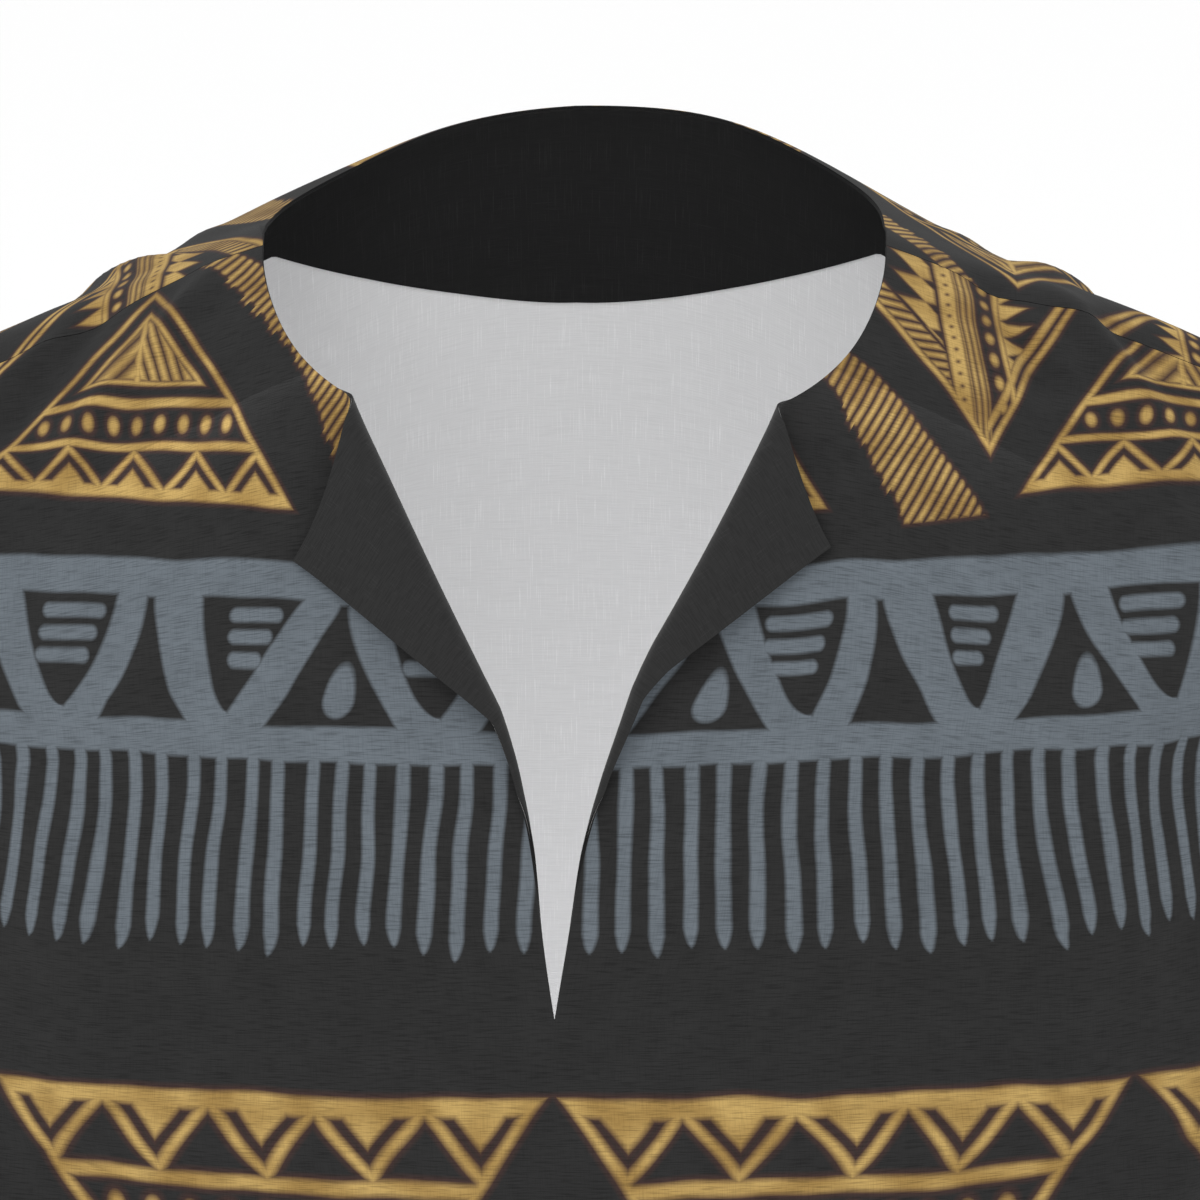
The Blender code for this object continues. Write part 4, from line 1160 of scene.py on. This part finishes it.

# Half-moon facing. Plain charcoal linen inside the back of the neck, from one shoulder seam to the
# other, sewn along the neckline and laid flat on the back's wrong side. Its colour is the charcoal
# linen darkened, as painted shade inside the neck.

HALF_MOON_SHOULDER_STEPS = 20


def moon_quad(quad):
    """True for the faces of the back that the half-moon backs."""
    first = BACK_SHOULDER_STEPS - HALF_MOON_SHOULDER_STEPS
    spots = [divmod(i, back_columns) for i in quad]
    return all(i <= HALF_MOON_ROWS and first <= j < back_columns - first for i, j in spots)


moon_quads = [q for q in back_quads if moon_quad(q)]
outer = back_points - back_out * (CLOTH + LAYER_GAP)
inner = outer - back_out * CLOTH
finishes = SHADED_FACING, SHADED_FACING, EDGE
back_facing = sewn("half_moon_facing", outer, inner, moon_quads, *finishes, threads=thread_map)
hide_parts("back_facing")
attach(back_facing, "root")

# Sleeves. Two short straight tubes of the same printed cloth, sewn into the armholes and hanging
# beside the body, with open cuffs.

SLEEVE_LENGTH = 262 * MM
SLEEVE_DROP = math.radians(47)
CUFF_HALF_DEPTH = 58 * MM
CUFF_HALF_HEIGHT = 81 * MM
SLEEVE_RINGS = 96
SLEEVE_STEPS = 200
SLEEVE_TOP_SLOPE = math.radians(26)
SLEEVE_FOLD = 4.5 * MM
SLEEVE_FOLD_COUNT = 3
SLEEVE_SMALL_FOLD = 1.3 * MM
SLEEVE_SMALL_FOLD_COUNT = 7
SLEEVE_FOLDS_FROM = 0.35
SLEEVE_TAPER = 0.15
SLEEVE_PRINT_TOP = -60
ARMHOLE_OVERLAP = 0.12
ARMHOLE_FINE = np.linspace(CHEST_ROW, BACK_CHEST_ROW, 801)
ARMHOLE_ARC = np.linalg.norm(np.diff(plain(np.ones(801), ARMHOLE_FINE), axis=0), axis=1)
ARMHOLE_ARC = np.concatenate([[0], np.cumsum(ARMHOLE_ARC)])
ARMHOLE_ROWS = np.concatenate([[CHEST_ROW - 1], ARMHOLE_FINE, [BACK_CHEST_ROW + 1]])
ARMHOLE_TURNS = ARMHOLE_ARC / ARMHOLE_ARC[-1]
ARMHOLE_TURNS = np.concatenate([[-ARMHOLE_OVERLAP], ARMHOLE_TURNS, [1 + ARMHOLE_OVERLAP]])


def sleeve_point(side, row, along):
    """A point of a sleeve's outer side: along runs from 0 at the armhole to 1 at the cuff."""
    axis = np.array([math.cos(SLEEVE_DROP), 0, -math.sin(SLEEVE_DROP)])
    across = np.array([-math.sin(SLEEVE_DROP), 0, -math.cos(SLEEVE_DROP)])
    tip = plain(np.array(1.0), np.array(float(RIDGE_ROW)))
    middle = tip + axis * SLEEVE_LENGTH + across * CUFF_HALF_HEIGHT
    angle = 2 * math.pi * np.interp(row, ARMHOLE_ROWS, ARMHOLE_TURNS)
    cuff = middle + across * (np.cos(angle) * CUFF_HALF_HEIGHT)[..., None]
    cuff = cuff - np.array([0, 1, 0]) * (np.sin(angle) * CUFF_HALF_DEPTH)[..., None]
    looped = np.where(row < CHEST_ROW, row + BACK_CHEST_ROW - CHEST_ROW, row)
    looped = np.where(looped > BACK_CHEST_ROW, looped - BACK_CHEST_ROW + CHEST_ROW, looped)
    start = draped(side, np.ones(row.shape), looped)
    start[..., 0] *= side
    slope = np.array([math.cos(SLEEVE_TOP_SLOPE), 0, -math.sin(SLEEVE_TOP_SLOPE)])
    top = (0.5 - 0.5 * np.cos(angle))[..., None] ** 2
    leave = axis + (slope - axis) * top
    span = np.linalg.norm(cuff - start, axis=-1, keepdims=True)
    part = along[..., None]
    square, cube = part**2, part**3
    points = (
        start * (2 * cube - 3 * square + 1)
        + leave * span * (cube - 2 * square + part)
        + cuff * (3 * square - 2 * cube)
        + axis * span * (cube - square)
    )
    radial = start + (cuff - start) * part - (tip + axis * SLEEVE_LENGTH * part + across * CUFF_HALF_HEIGHT)
    radial = radial - (radial @ axis)[..., None] * axis
    radial = radial / np.linalg.norm(radial, axis=-1, keepdims=True)
    folds = np.sin(SLEEVE_FOLD_COUNT * angle + 5 * along + 0.8 * side) * SLEEVE_FOLD
    small = np.sin(SLEEVE_SMALL_FOLD_COUNT * angle - 4 * along + 1.7 * side) * SLEEVE_SMALL_FOLD
    folds = (folds + small) * smooth(along / SLEEVE_FOLDS_FROM) * (0.6 + 0.4 * np.cos(angle))
    points = points + radial * folds[..., None]
    points[..., 0] *= side
    return points


def sleeve_normals(side, row, along):
    step = 0.004
    around = sleeve_point(side, row + step, along) - sleeve_point(side, row - step, along)
    down = sleeve_point(side, row, along + step) - sleeve_point(side, row, along - step)
    out = np.cross(down, around) * side
    return out / np.linalg.norm(out, axis=-1, keepdims=True)


SLEEVES = (("sleeve_viewers_right", "sleeve_left", 1), ("sleeve_viewers_left", "sleeve_right", -1))
for name, node, side in SLEEVES:
    turns = np.linspace(0, 1, SLEEVE_STEPS + 1)
    ring_rows = np.interp(turns, ARMHOLE_TURNS, ARMHOLE_ROWS)
    start = 1.5 * SEAM_GAP / SLEEVE_LENGTH
    along = start + (1 - start) * (np.arange(SLEEVE_RINGS + 1) / SLEEVE_RINGS)
    row, along = np.meshgrid(ring_rows, along)
    outer = sleeve_point(side, row, along)
    inner = outer - sleeve_normals(side, row, along) * CLOTH
    girth = ARMHOLE_ARC[-1] / MM * (1 - along * SLEEVE_TAPER)
    around = (np.tile(turns, (SLEEVE_RINGS + 1, 1)) - 0.5) * girth
    flat = np.stack([side * around, SLEEVE_PRINT_TOP - along * SLEEVE_LENGTH / MM], -1)
    maps = dict.fromkeys(("print", "threads"), flat.reshape(-1, 2) * MM)
    outer, inner = outer.reshape(-1, 3), inner.reshape(-1, 3)
    quads = grid_quads(SLEEVE_RINGS + 1, SLEEVE_STEPS + 1, side > 0)
    sleeve = sewn(name, outer, inner, quads, PRINT, WRONG_SIDE, EDGE, **maps)
    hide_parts(node)
    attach(sleeve, "root")

# Studio. A plain pale floor well below the shirt, even white light all round, and one soft light
# above and in front.

bpy.ops.object.select_all(action="DESELECT")
bpy.ops.mesh.primitive_plane_add(size=40, location=(0, 0, -0.78))
floor = bpy.context.object
floor.name = "floor"
pale = bpy.data.materials.new("pale floor")
pale.use_nodes = True
pale.node_tree.nodes["Principled BSDF"].inputs["Base Color"].default_value = (0.985, 0.985, 0.985, 1)
pale.node_tree.nodes["Principled BSDF"].inputs["Roughness"].default_value = 0.9
floor.data.materials.append(pale)

world = bpy.data.worlds.new("studio")
world.use_nodes = True
world.node_tree.nodes["Background"].inputs["Color"].default_value = (1, 1, 1, 1)
world.node_tree.nodes["Background"].inputs["Strength"].default_value = 1.0
bpy.context.scene.world = world
lamp = bpy.data.lights.new("softbox", "AREA")
lamp.shape = "DISK"
lamp.size = 1.6
lamp.energy = 12
softbox = bpy.data.objects.new("softbox", lamp)
softbox.location = (-0.7, -1.5, 1.6)
softbox.rotation_euler = (math.radians(45), 0, math.radians(-25))
bpy.context.scene.collection.objects.link(softbox)
fill = bpy.data.lights.new("inner fill", "AREA")
fill.shape = "RECTANGLE"
fill.size = 0.30
fill.size_y = 0.52
fill.energy = 1.2
inner_fill = bpy.data.objects.new("inner_fill", fill)
inner_fill.location = (0, -0.05, -0.28)
inner_fill.rotation_euler = (math.radians(-90), 0, 0)
inner_fill.visible_camera = False
bpy.context.scene.collection.objects.link(inner_fill)
bpy.context.scene.view_settings.view_transform = "Standard"
